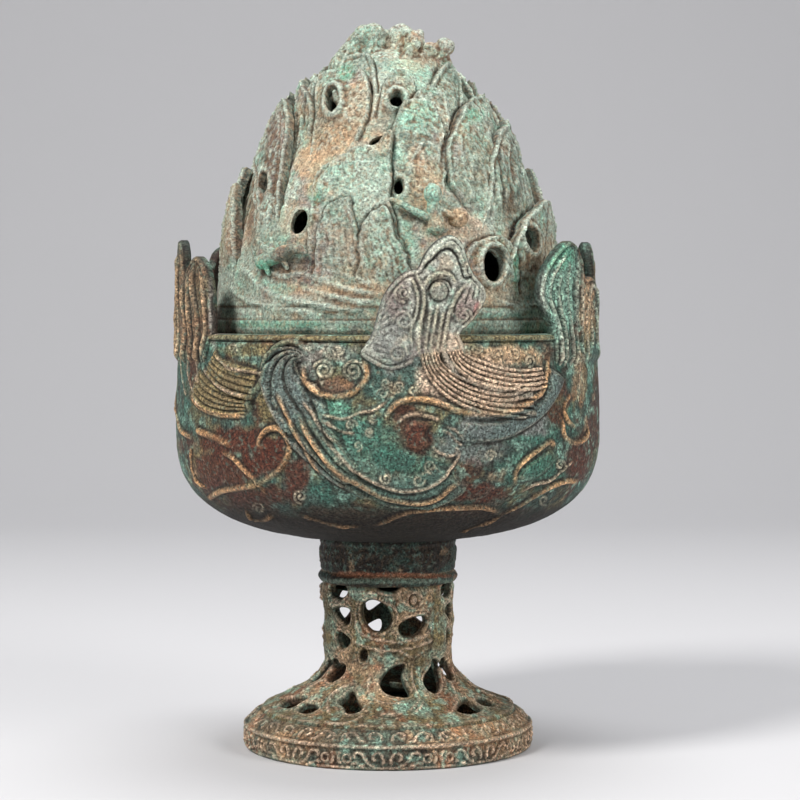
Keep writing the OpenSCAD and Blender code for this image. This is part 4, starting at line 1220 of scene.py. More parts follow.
# Lines on the plates in the front view: points, width, height.
PLATE_LINES = [
    ([(311, 202), (315, 186), (325, 173), (335, 164), (347, 157), (357, 152), (367, 151)], 1.0, -1.0),
    ([(391, 131), (396, 118), (405, 107), (417, 104), (430, 106), (439, 117), (446, 131), (449, 148)],
     1.0, -1.0),
    ([(411, 104), (418, 93), (431, 90), (444, 97), (450, 109)], 0.9, -0.9),
    ([(455, 127), (448, 141), (445, 160), (447, 174), (452, 187), (459, 194), (466, 203), (473, 211),
      (482, 219)], 1.1, -1.1),
    ([(297, 112), (298, 128), (293, 151), (288, 169), (283, 188), (279, 208)], 1.1, -1.0),
    ([(361, 226), (370, 215), (378, 210), (384, 207), (391, 216), (400, 238), (408, 254)], 0.9, -0.95),
    ([(319, 226), (324, 211), (336, 203), (349, 200)], 0.9, -1.1),
    ([(393, 142), (392, 160), (390, 178), (391, 194), (394, 212)], 1.0, -1.0),
    ([(469, 154), (472, 168), (477, 177), (481, 185)], 0.9, -1.0),
    ([(481, 162), (486, 172), (492, 190), (497, 203), (503, 216)], 1.0, 1.0),
    ([(489, 167), (496, 181), (502, 197), (508, 211)], 1.0, 1.0),
    ([(461, 136), (464, 158), (470, 180), (480, 200)], 0.9, 0.8),
    ([(456, 130), (451, 144), (450, 162), (454, 178)], 1.4, 1.0),
    ([(292, 116), (292, 130), (286, 154), (281, 172), (276, 192), (272, 212), (269, 238)], 1.1, 1.0),
    ([(285, 118), (281, 140), (277, 160), (271, 184), (265, 210), (260, 240)], 0.9, -1.0),
    ([(257, 182), (253, 204), (249, 226), (246, 246)], 1.0, 1.0),
    ([(352, 204), (357, 227), (361, 250), (367, 278)], 1.1, 1.0),
    ([(386, 144), (379, 151), (372, 154), (364, 161)], 0.8, -0.9),
    ([(424, 146), (416, 158), (411, 170), (412, 180)], 0.8, 0.7),
    ([(492, 237), (502, 247), (510, 257), (516, 268), (520, 282)], 1.1, 1.2),
    ([(506, 149), (510, 170), (518, 194)], 0.9, 0.8), (coil(361, 172, 6, 1.3), 0.7, 0.6),
    (coil(376, 171, 6, -1.3, 90), 0.7, 0.6), (coil(345, 180, 5, 1.2, 180), 0.7, 0.5),
]

# Plates at the sides, where the front view can't draw them: azimuth, foot and tip heights, half
# width, lean to the tip, stand-off, swell, edge lines and furrows.
SIDE_PLATES = [
    (-92.0, 178.0, 222.0, 16.0, 6.0, 6.6, 1.2, 1, 3), (-72.0, 176.0, 215.0, 11.0, -4.0, 7.8, 1.2, 1, 2),
    (-84.0, 206.0, 249.0, 15.0, -2.0, 6.0, 1.0, 1, 3), (-62.0, 226.0, 257.0, 13.0, -6.0, 3.4, 0.8, 1, 0),
    (74.0, 174.0, 207.0, 13.0, 3.0, 4.8, 1.2, 1, 2), (84.0, 196.0, 238.0, 13.0, -5.0, 6.0, 1.0, 1, 3),
    (70.0, 222.0, 249.0, 12.0, 3.0, 6.0, 0.8, 1, 2), (92.0, 228.0, 259.0, 16.0, 0.0, 3.9, 0.8, 1, 0),
]


def leaf(az, foot, tip, half, lean):
    """A leaf's outline on the lid, as azimuth and place along the profile."""
    v = np.sin(np.linspace(0.0, 90.0, 14) * RAD)
    w = half * (1.0 - v ** 2.2) ** 0.75
    mid = az + lean * v * v
    z = foot + (tip - foot) * v
    a = np.concatenate([mid - w, (mid + w)[::-1][1:]])
    return a, lid_wall.along(np.concatenate([z, z[::-1][1:]]))


# The dark strips at 334 are a painted shadow line under the lid's rim. The dark patches at 414 214, 440
# 234 and 282 272 are painted shade under the hunter and the beast, and the one at 262 186 is painted shade
# in the left side hole.
LID_SPOTS = [
    (346, 74, 12, 9, JADE, 0.7), (404, 68, 18, 9, MINT, 0.7), (421, 114, 18, 12, JADE, 0.55),
    (340, 168, 24, 8, MINT, 0.6), (314, 190, 6, 16, JADE, 0.6), (283, 190, 4, 30, MINT, 0.8),
    (306, 216, 8, 10, JADE, 0.6), (356, 218, 4, 22, JADE, 0.7), (451, 158, 3, 26, MINT, 0.8),
    (500, 208, 5, 44, JADE, 0.65), (516, 272, 4, 22, JADE, 0.7), (220, 226, 6, 26, JADE, 0.5),
    (384, 276, 8, 10, MINT, 0.6), (282, 324, 50, 4, JADE, 0.5), (500, 313, 22, 5, MINT, 0.6),
    (474, 116, 12, 8, JADE, 0.6), (470, 140, 10, 10, GREEN, 0.6), (404, 240, 10, 16, JADE, 0.45),
    (355, 165, 18, 9, SLATE, 0.35), (416, 158, 8, 18, TAN, 0.5), (278, 150, 12, 50, PLUM, 0.8),
    (272, 155, 8, 46, UMBER, 0.55), (286, 180, 4, 34, PALE, 0.8), (330, 132, 26, 34, BROWN, 0.5),
    (330, 148, 24, 20, EARTH, 0.75), (312, 168, 12, 24, EARTH, 0.7), (360, 100, 22, 26, EARTH, 0.45),
    (380, 120, 14, 16, RUST, 0.3), (356, 176, 32, 22, MINT, 0.55), (420, 120, 24, 16, MINT, 0.6),
    (425, 190, 24, 26, EARTH, 0.7), (455, 228, 34, 20, TAN, 0.75), (492, 288, 26, 18, EARTH, 0.5),
    (340, 240, 34, 26, GREY, 0.5), (392, 245, 24, 30, MINT, 0.4), (300, 270, 40, 14, PLUM, 0.5),
    (480, 180, 26, 40, GREEN, 0.5), (512, 180, 12, 44, TEAL, 0.6), (506, 214, 8, 30, BROWN, 0.5),
    (420, 50, 30, 22, EARTH, 0.35), (372, 50, 20, 24, TEAL, 0.5), (440, 90, 18, 14, GREEN, 0.5),
    (296, 222, 16, 22, EARTH, 0.4), (235, 215, 16, 40, EARTH, 0.35), (254, 214, 7, 36, BROWN, 0.7),
    (222, 240, 8, 26, EARTH, 0.5), (244, 180, 4, 10, UMBER, 0.6), (340, 292, 60, 8, EARTH, 0.5),
    (310, 300, 90, 6, PALE, 0.5), (300, 322, 84, 6, TEAL, 0.25), (500, 322, 50, 6, TEAL, 0.25),
    (300, 334, 90, 4, DARK, 0.6), (500, 334, 60, 4, DARK, 0.6), (262, 186, 10, 14, BROWN, 0.5),
    (414, 214, 14, 7, UMBER, 0.7), (440, 234, 18, 6, BROWN, 0.5), (282, 272, 30, 8, UMBER, 0.7),
    (366, 190, 26, 40, PALE, 0.5), (540, 262, 16, 30, EARTH, 0.5), (495, 206, 10, 40, PALE, 0.5),
]

# Lines of the cloud band round the mountain's foot, in the front view: points, width, height.
LID_LINES = [
    ([(240, 268), (247, 273), (258, 286), (277, 296), (309, 304), (335, 308), (366, 310)], 1.6, 1.3),
    ([(262, 266), (280, 276), (299, 274), (322, 281), (348, 289), (378, 294)], 1.4, 1.2),
    ([(228, 290), (250, 302), (280, 309), (310, 312)], 1.3, 1.0),
    ([(300, 288), (325, 294), (350, 300), (376, 302)], 1.2, 1.0),
    ([(320, 268), (345, 276), (372, 284)], 1.1, 0.9),
    ([(500, 300), (515, 306), (530, 306), (546, 300), (556, 292)], 1.2, 0.6),
    ([(452, 300), (470, 308), (490, 312), (512, 312), (534, 308)], 1.2, 0.6),
]


def hole_edges(az, s, k):
    """Distance of points of a plate's own sheet from the nearest hole, and that hole's lip."""
    xy = np.stack([az * k, s], -1)
    best = np.full(len(xy), 1e6)
    lip = np.zeros(len(xy))
    for ha, hs, hl in hole_loops:
        loop = np.stack([ha * k, hs], -1)
        idx = in_box(xy, loop, 6.0)
        if not len(idx):
            continue
        d, _ = reach(xy[idx], ringed(loop))
        closer = d < best[idx]
        best[idx[closer]] = d[closer]
        lip[idx[closer]] = hl
    return best, lip


def hole_shade(verts, hole):
    """Shade round a hole, from 1 near its edge to 0 a little way off."""
    away, _ = reach(verts, ringed(hole))
    return 1.0 - ease((away - 3.0) / 3.0)


def cut_holes(loop, k, gap):
    """The smoke holes that lie wholly in an outline, as loops on its sheet."""
    found = []
    for ha, hs, _ in hole_loops:
        hole = np.stack([ha * k, hs], -1)
        if inside(hole, loop).all() and reach(hole, ringed(loop))[0].min() > gap:
            found.append(hole)
    return found


def creases(az, s, k, fronts):
    """How near points lie to the feet of the plates in front of them, from 0 to 1."""
    xy = np.stack([az * k, s], -1)
    near = np.zeros(len(xy))
    wide = 1.7
    for fa, fs in fronts:
        loop = np.stack([fa * k, fs], -1)
        idx = in_box(xy, loop, wide)
        if len(idx):
            line = np.roll(loop, -int(np.argmin(fs)), axis=0)
            line = line[line[:, 1] > fs.min() + 0.3 * np.ptp(fs)]
            d, _ = reach(xy[idx], line)
            near[idx] = np.maximum(near[idx], 1.0 - np.clip(d / wide, 0.0, 1.0))
    return near


# How deep a plate's foot sinks into the mountain, and the heights of the grooves on the lid's bands.
PLATE_SINK = 2.4
LID_GROOVE_LOW = 166.2
LID_GROOVE_HIGH = 170.6


def add_plate(piece, az, s, out_tip, swell, edge_lines, furrows, step, turn, seed, fronts):
    """One peak: a plate whose foot sinks into the mountain and whose tip stands free."""
    k = float(lid_wall.radius(s.mean())) * RAD
    loop = np.stack([az * k, s], -1)
    rim = spaced(ringed(loop), step * 0.9)[:-1]
    verts, tris, rims = fill([rim] + cut_holes(rim, k, 0.8), step)
    v = np.clip((verts[:, 1] - s.min()) / np.ptp(s), 0.0, 1.0)
    top = int(np.argmax(rim[:, 1]))
    turned = np.roll(rim, -top, axis=0)
    sides = turned[turned[:, 1] > s.min() + 0.06 * np.ptp(s)]
    edge, _ = reach(verts, sides)
    half = len(sides) // 2
    first, _ = reach(verts, sides[:half])
    other, _ = reach(verts, sides[half:])
    u = first / (first + other + 1e-6)
    h = -PLATE_SINK + (out_tip + PLATE_SINK) * v ** 0.9
    h = h + swell * (1.0 - np.exp(-edge / 4.0)) * (1.0 - 0.35 * v)
    h = h - 1.0 * np.clip(1.0 - edge / 1.2, 0.0, 1.0) ** 2
    h = h + 0.7 * bell(edge - 1.0, 0.9) * ease(v / 0.2)
    for i in range(edge_lines):
        h = h - 0.6 * bell(edge - 2.5 - 1.8 * i, 0.62) * ease(v / 0.25)
    if furrows:
        wave = (0.5 + 0.5 * np.cos(2.0 * math.pi * furrows * u)) ** 3
        h = h - (0.6 if furrows < 4 else 0.32) * wave * ease((edge - 1.5) / 1.5) * ease(v / 0.3)
    d, lip = hole_edges(verts[:, 0] / k, verts[:, 1], k)
    h = h + lip * bell(d - 0.6, 2.6) - 0.5 * bell(d, 0.7)
    rel = Relief(verts)
    for points, w, height in PLATE_LINES + LID_LINES:
        line_az, line_s = lid_wall.pick(curve(points, 2.0), 4.0)
        rel.stroke(spaced(np.stack([line_az * k, line_s], -1), 0.7), w, height)
    h = h + rel.h
    p = lid_wall.at(verts[:, 0] / k, verts[:, 1], h)
    h = h + uneven(p, 0.9, 8.0, 200 + seed) * ease(v / 0.3)
    h = h + uneven(p, 0.7, 3.4, 131) + uneven(p, 0.6, 1.5, 109, 2)
    # Near the feet of the plates in front the skin sinks, and shell paints shade there.
    crease = creases(verts[:, 0] / k, verts[:, 1], k, fronts)
    h = np.maximum(h - 0.7 * crease ** 2.0, 0.6 - HILL_WALL)
    # The last two holes lie at the sides, and what is seen through them gets painted shade.
    for ha, hs, _ in hole_loops[-2:]:
        hole = np.stack([ha * k, hs], -1)
        if not inside(hole, rim).all():
            crease = np.maximum(crease, hole_shade(verts, hole))
    free = ease((v - 0.30) / 0.45)
    back = (0.2 - HILL_WALL) * (1.0 - free) + np.maximum(-1.2, h - 2.3) * free
    shell(piece, lid_wall, verts, tris, rims, h, np.minimum(back, h - 0.3), k, turn,
          STYLE_LID, LID_SPOTS, (), crease)


def add_hill(piece, turn, fronts):
    """Half of the lid's own skin, from its rim to the block under the summit."""
    k = lid_wall.k
    top = float(lid_wall.s[-1])
    rows = np.concatenate([np.arange(0.0, HILL_S, 0.8), np.linspace(HILL_S, top, 90)])
    cols = np.linspace(-90.0, 90.0, 200)
    right = np.stack([np.full(len(rows), 90.0 * k), rows], -1)
    upper = np.stack([cols[::-1] * k, np.full(len(cols), top)], -1)
    left = np.stack([np.full(len(rows), -90.0 * k), rows[::-1]], -1)
    lower = np.stack([cols * k, np.zeros(len(cols))], -1)
    rim = np.vstack([lower[:-1], right[:-1], upper[:-1], left[:-1]])
    holes = [np.stack([a * k, s], -1) for a, s, _ in hole_loops]
    verts, tris, rims = fill([rim] + holes, 1.05)
    rel = Relief(verts)
    for points, w, h in LID_LINES:
        rel.stroke(spaced(lid_wall.sheet(curve(points, 2.0), 0.5), 0.8), w, h)
    z = lid_wall.height(verts[:, 1])
    rel.h -= 0.45 * bell(z - LID_GROOVE_LOW, 0.9) + 0.35 * bell(z - LID_GROOVE_HIGH, 0.8)
    d, lip = hole_edges(verts[:, 0] / k, verts[:, 1], k)
    rel.h += 0.5 * lip * bell(d - 0.6, 2.4)
    p = lid_wall.at(verts[:, 0] / k, verts[:, 1], rel.h)
    edge = ease((90.0 - np.abs(verts[:, 0] / k)) / 6.0)
    rough = uneven(p, 0.9, 10.0, 113) * ease((z - 176.0) / 8.0) + uneven(p, 0.2, 2.4, 127, 2)
    rel.h += edge * rough
    # Painted shade round the two side holes, and along the feet of the plates in front.
    shade = np.zeros(len(verts))
    for hole in holes[-2:]:
        shade = np.maximum(shade, hole_shade(verts, hole))
    back = np.where(z < HILL_Z - 1.0, SOCKET_R - lid_wall.radius(verts[:, 1]), -HILL_WALL)
    low = rims[0][:len(cols)]
    corner = len(cols) + len(rows) - 2
    high = rims[0][corner:corner + len(cols)]
    n = len(verts)
    crease = creases(verts[:, 0] / k, verts[:, 1], k, fronts) * edge
    shell(piece, lid_wall, verts, tris, rims, rel.h - 0.7 * crease, back, k, turn,
          STYLE_LID, LID_SPOTS, (0,), np.maximum(crease, shade))
    # The flat underside of the rim joins the two skins, and a disc closes the top.
    pts, faces, flat, tint, wear = piece.parts[-1]
    under = np.stack([low[1:], low[:-1], low[:-1] + n, low[1:] + n], -1)
    mid = np.array([[0.0, 0.0, SUMMIT_Z], [0.0, 0.0, SUMMIT_Z - HILL_WALL]])
    above = np.stack([high[:-1], high[1:], np.full(len(high) - 1, 2 * n)], -1)
    below = np.stack([high[1:] + n, high[:-1] + n, np.full(len(high) - 1, 2 * n + 1)], -1)
    piece.parts[-1] = (
        np.vstack([pts, mid]), faces + [under, np.vstack([above, below])],
        np.vstack([flat, flat[[high[0], high[0] + n]] + np.array([[0.0, 4.0]])]),
        np.vstack([tint, tint[:2]]), np.concatenate([wear, wear[:2]]),
    )


def make_lid():
    plates = []
    for points, *shape in PLATES:
        az, s = lid_wall.pick(curve(points, 2.5, True), 2.5)
        p = lid_wall.at(az, s, np.zeros(len(s)))
        az = az + uneven(p, 2.4, 8.0, 61)
        s = s + uneven(p, 2.4, 8.0, 62)
        plates.append(((az, s), shape))
    for mid, foot, tip, half, lean, *shape in SIDE_PLATES:
        plates.append((leaf(mid, foot, tip, half, lean), shape))
    outlines = [place for place, _ in plates]
    piece = Piece()
    for turn in (0.0, 180.0):
        add_hill(piece, turn, outlines)
        step = 0.85 if turn == 0.0 else 1.3
        for i, ((az, s), shape) in enumerate(plates):
            add_plate(piece, az, s, *shape, step, turn, i, outlines[i + 1:])
    piece.build("lid_shell", "lid", "lid", MAT_LID)


make_lid()


# The openwork stem: windows drawn in the front view, within one third of the way round.
THIRD = 120.0
STEM_SHEET_R = 34.0
flare_v = np.linspace(1.0, 0.0, 90)
flare_r = STEM_WAIST_R + (STEM_FOOT_R - STEM_WAIST_R) * flare_v ** 2
stem_wall = Wall(
    np.concatenate([[STEM_FOOT_R], flare_r, [STEM_TOP_R]]),
    np.concatenate([[FOOT_TOP - 1.2], FOOT_TOP + STEM_FLARE_H * (1.0 - flare_v), [STEM_TOP]]),
    STEM_SHEET_R,
)
WINDOWS = [
    [(330, 586), (334, 582), (341, 582), (346, 587), (346, 594), (341, 598), (334, 597), (330, 592)],
    [(378, 583), (388, 583), (399, 584), (401, 587), (396, 591), (386, 592), (378, 589), (376, 586)],
    [(363, 604), (373, 600), (384, 605), (391, 615), (390, 625), (383, 631), (372, 631), (364, 623),
     (361, 613)],
    [(425, 617), (426, 623), (420, 633), (411, 637), (401, 635), (399, 627), (404, 622), (414, 618)],
    [(334, 609), (345, 608), (349, 611), (349, 622), (346, 624), (340, 619)],
    [(338, 632), (345, 636), (350, 641), (346, 647), (341, 648), (337, 640)],
    [(361, 652), (365, 650), (367, 655), (366, 660), (363, 661), (360, 657)],
    [(345, 666), (342, 675), (330, 681), (327, 678), (333, 669), (340, 665)],
    [(404, 666), (402, 676), (405, 684), (409, 691), (408, 696), (400, 696), (386, 692), (380, 684),
     (381, 678), (388, 671), (396, 667)],
    [(433, 660), (439, 663), (438, 671), (440, 683), (436, 692), (429, 690), (424, 681), (426, 675),
     (431, 668)],
    [(441, 660), (445, 659), (446, 664), (443, 668), (440, 666)],
    [(352, 690), (355, 694), (357, 700), (362, 706), (358, 711), (350, 713), (346, 711), (344, 706),
     (339, 702), (345, 696)],
    [(299, 708), (306, 703), (315, 704), (317, 708), (310, 712), (301, 712)],
    [(458, 710), (461, 702), (467, 698), (473, 702), (481, 709), (476, 712), (466, 713)],
]
# Lines on the dragons in the front view: points, width, height.
STEM_LINES = [
    ([(400, 598), (404, 603), (411, 607), (418, 605), (422, 600)], 0.7, 0.7),
    ([(405, 597), (411, 593), (418, 594), (422, 598)], 0.6, 0.6),
    ([(372, 598), (382, 601), (392, 606), (397, 613), (395, 620)], 0.8, 0.7),
    ([(356, 612), (357, 624), (363, 634), (374, 639), (388, 641), (402, 642), (416, 639), (428, 632),
      (432, 620)], 0.7, 0.55),
    ([(353, 640), (364, 646), (380, 650), (396, 650), (412, 647), (428, 641), (436, 634)], 0.7, 0.5),
    ([(372, 660), (378, 654), (390, 650), (402, 652), (410, 658)], 0.7, 0.5),
    ([(372, 672), (369, 684), (370, 696), (378, 703), (392, 706), (404, 704)], 0.7, 0.5),
    ([(412, 664), (411, 676), (414, 688), (418, 697), (416, 706), (408, 714)], 0.7, 0.55),
    ([(417, 662), (416, 676), (419, 688), (423, 697), (421, 708), (412, 717)], 0.7, 0.55),
    ([(330, 716), (328, 706), (333, 697), (343, 689), (350, 685)], 0.9, 0.7),
    ([(322, 722), (336, 726), (352, 724), (364, 716)], 0.8, 0.5),
    ([(446, 676), (452, 690), (456, 702), (452, 712)], 0.8, 0.5),
    ([(376, 716), (388, 719), (402, 717)], 1.0, -0.7),
]
for i in range(10):
    STEM_LINES.append(([(402 + 3.2 * i, 591 - 0.3 * i), (406 + 3.2 * i, 583 - 0.2 * i)], 0.45, -0.45))
for i in range(7):
    STEM_LINES.append(([(377 + 3.0 * i, 600 + 0.8 * i), (381 + 3.0 * i, 595 + 0.4 * i)], 0.45, -0.4))


def seam_az(z):
    """Azimuth of the line between the thirds, which runs clear of every window."""
    return 24.0 + 20.0 * ease((z - 35.5) / 5.5)


def on_stem(points, step, closed=False):
    """A smooth line drawn in the front view, laid on the stem within the front third."""
    az, s = stem_wall.pick(curve(points, step, closed))
    shift = -THIRD if az.mean() > seam_az(stem_wall.height(s.mean())) else 0.0
    return np.stack([(az + shift) * stem_wall.k, s], -1)


# The dragon's eye in the front view.
STEM_EYE = (412.5, 600.0)


def make_stem():
    k = stem_wall.k
    top = float(stem_wall.s[-1])
    rows = np.linspace(0.0, top, 92)
    row_az = seam_az(stem_wall.height(rows))
    share = np.linspace(0.0, 1.0, 88)
    right = np.stack([row_az * k, rows], -1)
    left = np.stack([(row_az - THIRD) * k, rows], -1)[::-1]
    low = np.stack([(row_az[0] - THIRD + THIRD * share) * k, np.zeros(len(share))], -1)
    high = np.stack([(row_az[-1] - THIRD * share) * k, np.full(len(share), top)], -1)
    rim = np.vstack([low[:-1], right[:-1], high[:-1], left[:-1]])
    holes = []
    for points in WINDOWS:
        holes.append(spaced(ringed(on_stem(points, 1.6, True)), 0.7)[:-1])
    verts, tris, rims = fill([rim] + holes, 0.72)
    rel = Relief(verts)
    d = np.full(len(verts), 1e6)
    for loop in holes:
        idx = in_box(verts, loop, 9.0)
        d[idx] = np.minimum(d[idx], reach(verts[idx], ringed(loop))[0])
    rel.h += 0.9 * (1.0 - np.exp(-d / 2.6)) - 1.0 * np.clip(1.0 - d / 1.3, 0.0, 1.0) ** 2
    rel.h -= 0.40 * bell(d - 1.9, 0.55) + 0.30 * bell(d - 3.6, 0.5)
    for points, w, h in STEM_LINES:
        rel.stroke(spaced(on_stem(points, 1.5), 0.5), 1.15 * w, 1.5 * h)
    eye_az, eye_s = stem_wall.pick([STEM_EYE])
    away = np.hypot(verts[:, 0] - eye_az[0] * k, verts[:, 1] - eye_s[0])
    rel.h += 1.3 * np.sqrt(np.clip(1.0 - (away / 1.9) ** 2, 0.0, 1.0)) - 0.5 * bell(away - 2.3, 0.5)
    rel.h += 0.8 * bell(away - 3.3, 0.7)
    p = stem_wall.at(verts[:, 0] / k, verts[:, 1], rel.h)
    calm = ease((verts[:, 1] - 0.5) / 2.0) * ease((top - verts[:, 1]) / 2.0)
    across = verts[:, 0] / k - seam_az(stem_wall.height(verts[:, 1]))
    # At the lines between the thirds the relief comes to one level, so the thirds meet.
    meet = ease(-across / 4.0) * ease((across + THIRD) / 4.0)
    rel.h = (0.55 + (rel.h - 0.55) * meet) * np.maximum(calm, 0.25)
    rel.h += calm * meet * (uneven(p, 0.5, 6.0, 131) + uneven(p, 0.2, 2.0, 137, 2))
    piece = Piece()
    for turn in (0.0, THIRD, 2.0 * THIRD):
        shell(piece, stem_wall, verts, tris, rims, rel.h, np.full(len(verts), -STEM_WALL), k, turn,
              STYLE_STEM, (), (0,))
    # The plate that closes the stem's top round the rivet, and the rims at top and bottom.
    az = np.linspace(0.0, 360.0, 120, endpoint=False)
    ring = [
        (STEM_TOP_R, STEM_TOP), (RIVET_BORE_R, STEM_TOP),
        (RIVET_BORE_R, STEM_TOP - STEM_PLATE), (STEM_TOP_R - STEM_WALL, STEM_TOP - STEM_PLATE),
    ]
    add_ring(piece, ring, az, STYLE_FOOT)
    foot = [(STEM_FOOT_R - STEM_WALL, LEDGE_Z), (STEM_FOOT_R, LEDGE_Z), (STEM_FOOT_R, FOOT_TOP - 1.0)]
    add_ring(piece, foot, az, STYLE_FOOT)
    piece.build("stem_openwork", "stand", "dragon_stem", MAT_FOOT)


def add_ring(piece, profile, az, style):
    """A plain revolved strip."""
    rr, ra = np.meshgrid([q[0] for q in profile], az, indexing="ij")
    zz = np.repeat([q[1] for q in profile], len(az))
    verts = on_circle(rr.ravel(), ra.ravel(), zz)
    quads = grid_quads(len(profile), len(az), False)
    tint, wear = patina(verts, np.zeros(len(verts)), style)
    across = np.tile(np.arange(len(az)) * 1.0, len(profile))
    flat = np.stack([across, np.repeat(np.arange(len(profile)) * 4.0, len(az))], -1)
    piece.add_round(verts, quads, len(az), flat, tint, wear, 0.01)


def add_turned(piece, profile, az, relief, style, spots=()):
    """A revolved closed profile whose points move along their normals by a relief."""
    r = np.array([q[0] for q in profile])
    z = np.array([q[1] for q in profile])
    s = np.concatenate([[0.0], np.cumsum(np.hypot(np.diff(r), np.diff(z)))])
    dr = np.roll(r, -1) - np.roll(r, 1)
    dz = np.roll(z, -1) - np.roll(z, 1)
    n = np.hypot(dr, dz) + 1e-9
    gs, ga = np.meshgrid(np.arange(len(r)), az, indexing="ij")
    i = gs.ravel()
    a = ga.ravel()
    h = relief(a, r[i], z[i])
    rr = r[i] + h * (dz / n)[i]
    zz = np.maximum(z[i] - h * (dr / n)[i], z.min())
    verts = on_circle(rr, a, zz)
    quads = grid_quads(len(r), len(az), True)
    cav = h - mean_round(h, [quads], 8)
    tint, wear = patina(verts, cav, style, spots)
    flat = np.stack([np.tile(np.arange(len(az)) * 0.5, len(r)), np.repeat(s, len(az))], -1)
    piece.add_round(verts, quads, len(az), flat, tint, wear, 0.01)


def dense(corners, step):
    """A closed profile through corners, with points at about a given step and slightly soft corners."""
    p = np.asarray(corners, float)
    line = spaced(ringed(p), step)[:-1]
    for _ in range(2):
        line = 0.5 * line + 0.25 * (np.roll(line, 1, axis=0) + np.roll(line, -1, axis=0))
    return line


# One unit of the foot's ornament, in millimetres along and up the rim: hooks and a ring.
RIM_HOOKS = [
    [(-8.2, 2.0), (-8.0, 5.0), (-6.6, 6.6), (-4.8, 6.0), (-4.6, 4.4), (-6.0, 3.6)],
    [(-5.6, 1.8), (-3.4, 2.2), (-1.8, 4.0), (-0.4, 6.2), (1.6, 6.6), (2.6, 5.2), (1.4, 4.2)],
    [(-1.6, 1.7), (0.6, 2.0), (2.6, 2.8), (3.6, 1.9)], [(7.8, 6.8), (8.6, 5.4), (8.4, 3.4), (7.4, 2.0)],
]
SLOPE_HOOKS = [
    [(-6.6, 1.8), (-6.2, 4.6), (-4.0, 5.8), (-2.4, 4.6), (-3.2, 3.0), (-4.6, 3.4)],
    [(-2.0, 1.6), (0.4, 2.0), (1.6, 4.0), (3.4, 5.6), (5.4, 5.0), (5.2, 3.4), (3.8, 3.0)],
    [(6.4, 1.6), (6.8, 3.4), (6.2, 5.6)],
]


# Units of ornament round the foot and the collar, and a height at which points meet no line.
FOOT_UNITS = 18
COLLAR_UNITS = 12
OFF_SHEET = -50.0


def foot_relief(az, r, z):
    """Heights of the foot's ornament on rim and slope, with every second unit mirrored."""
    span = 360.0 / FOOT_UNITS
    mirrored = np.floor((az + 500.0 * span) / span).astype(int) % 2
    x = (np.mod(az, span) - span / 2.0) * FOOT_R * RAD
    x = np.where(mirrored == 1, -x, x)
    h = np.zeros(len(az))
    on_rim = (r > FOOT_R - 0.6) & (z < FOOT_RIM_H - 0.4)
    rel = Relief(np.stack([x, np.where(on_rim, z, OFF_SHEET)], -1))
    for line in RIM_HOOKS:
        rel.stroke(spaced(curve(line, 0.4), 0.35), 0.95, 1.1, 0.1)
    ring = np.hypot(x - 5.4, z - 4.3)
    rel.h += on_rim * 0.7 * bell(ring - 1.5, 0.75)
    h += rel.h + on_rim * (0.5 * bell(z - 1.0, 0.8))
    up = (FOOT_R - r) / 6.0 * 7.8
    on_slope = (z > FOOT_RIM_H) & (up > 0.8) & (z < FOOT_TOP - 0.2)
    rel = Relief(np.stack([x * 0.86, np.where(on_slope, up, OFF_SHEET)], -1))
    for line in SLOPE_HOOKS:
        rel.stroke(spaced(curve(line, 0.4), 0.35), 0.85, 0.85, 0.1)
    h += rel.h
    h += 0.9 * bell(np.hypot(r - FOOT_R - 0.1, z - FOOT_RIM_H + 0.5), 1.3)
    p = on_circle(r, az, z)
    return h + uneven(p, 0.3, 7.0, 139) + uneven(p, 0.15, 2.0, 149, 2)


def make_foot():
    corners = [
        (FOOT_BORE_R, 0.0), (FOOT_R, 0.0), (FOOT_R, FOOT_RIM_H), (FOOT_LIP_R, FOOT_TOP),
        (FOOT_LIP_R, LEDGE_Z), (LEDGE_R, LEDGE_Z), (LEDGE_R, LEDGE_Z - 3.0), (FOOT_BORE_R, 6.2),
    ]
    az = np.linspace(-180.0, 180.0, 640, endpoint=False)
    spots = [(300, 735, 40, 30, OCHRE, 0.4), (500, 735, 50, 24, OCHRE, 0.5), (300, 725, 60, 6, DARK, 0.4)]
    piece = Piece()
    add_turned(piece, dense(corners, 0.42), az, foot_relief, STYLE_FOOT, spots)
    piece.build("foot_band", "stand", "foot_ring", MAT_FOOT)


# Heights on the collar: its bead, the groove over that, the patterned band, its hooks and its edge line.
BEAD_Z = 66.2
BEAD_GROOVE_Z = 68.6
PATTERN_LOW = 69.0
PATTERN_HIGH = 80.5
PATTERN_Z = 70.0
PATTERN_EDGE_Z = 79.8


def collar_relief(az, r, z):
    """Heights of the collar's bead and of the hooks on its band."""
    span = 360.0 / COLLAR_UNITS
    x = (np.mod(az + 7.0, span) - span / 2.0) * COLLAR_R * RAD
    h = 0.9 * bell(z - BEAD_Z, 2.1) * (r > COLLAR_R - 1.0) - 0.5 * bell(z - BEAD_GROOVE_Z, 0.8)
    on = (r > COLLAR_R - 0.6) & (z > PATTERN_LOW) & (z < PATTERN_HIGH)
    rel = Relief(np.stack([x, np.where(on, z - PATTERN_Z, OFF_SHEET)], -1))
    for line in RIM_HOOKS:
        rel.stroke(spaced(curve(np.asarray(line) * np.array([0.8, 1.1]), 0.4), 0.4), 0.9, 0.6, 0.1)
    h += rel.h + 0.3 * bell(z - PATTERN_EDGE_Z, 0.8) * on
    p = on_circle(r, az, z)
    return h + uneven(p, 0.3, 6.0, 151)


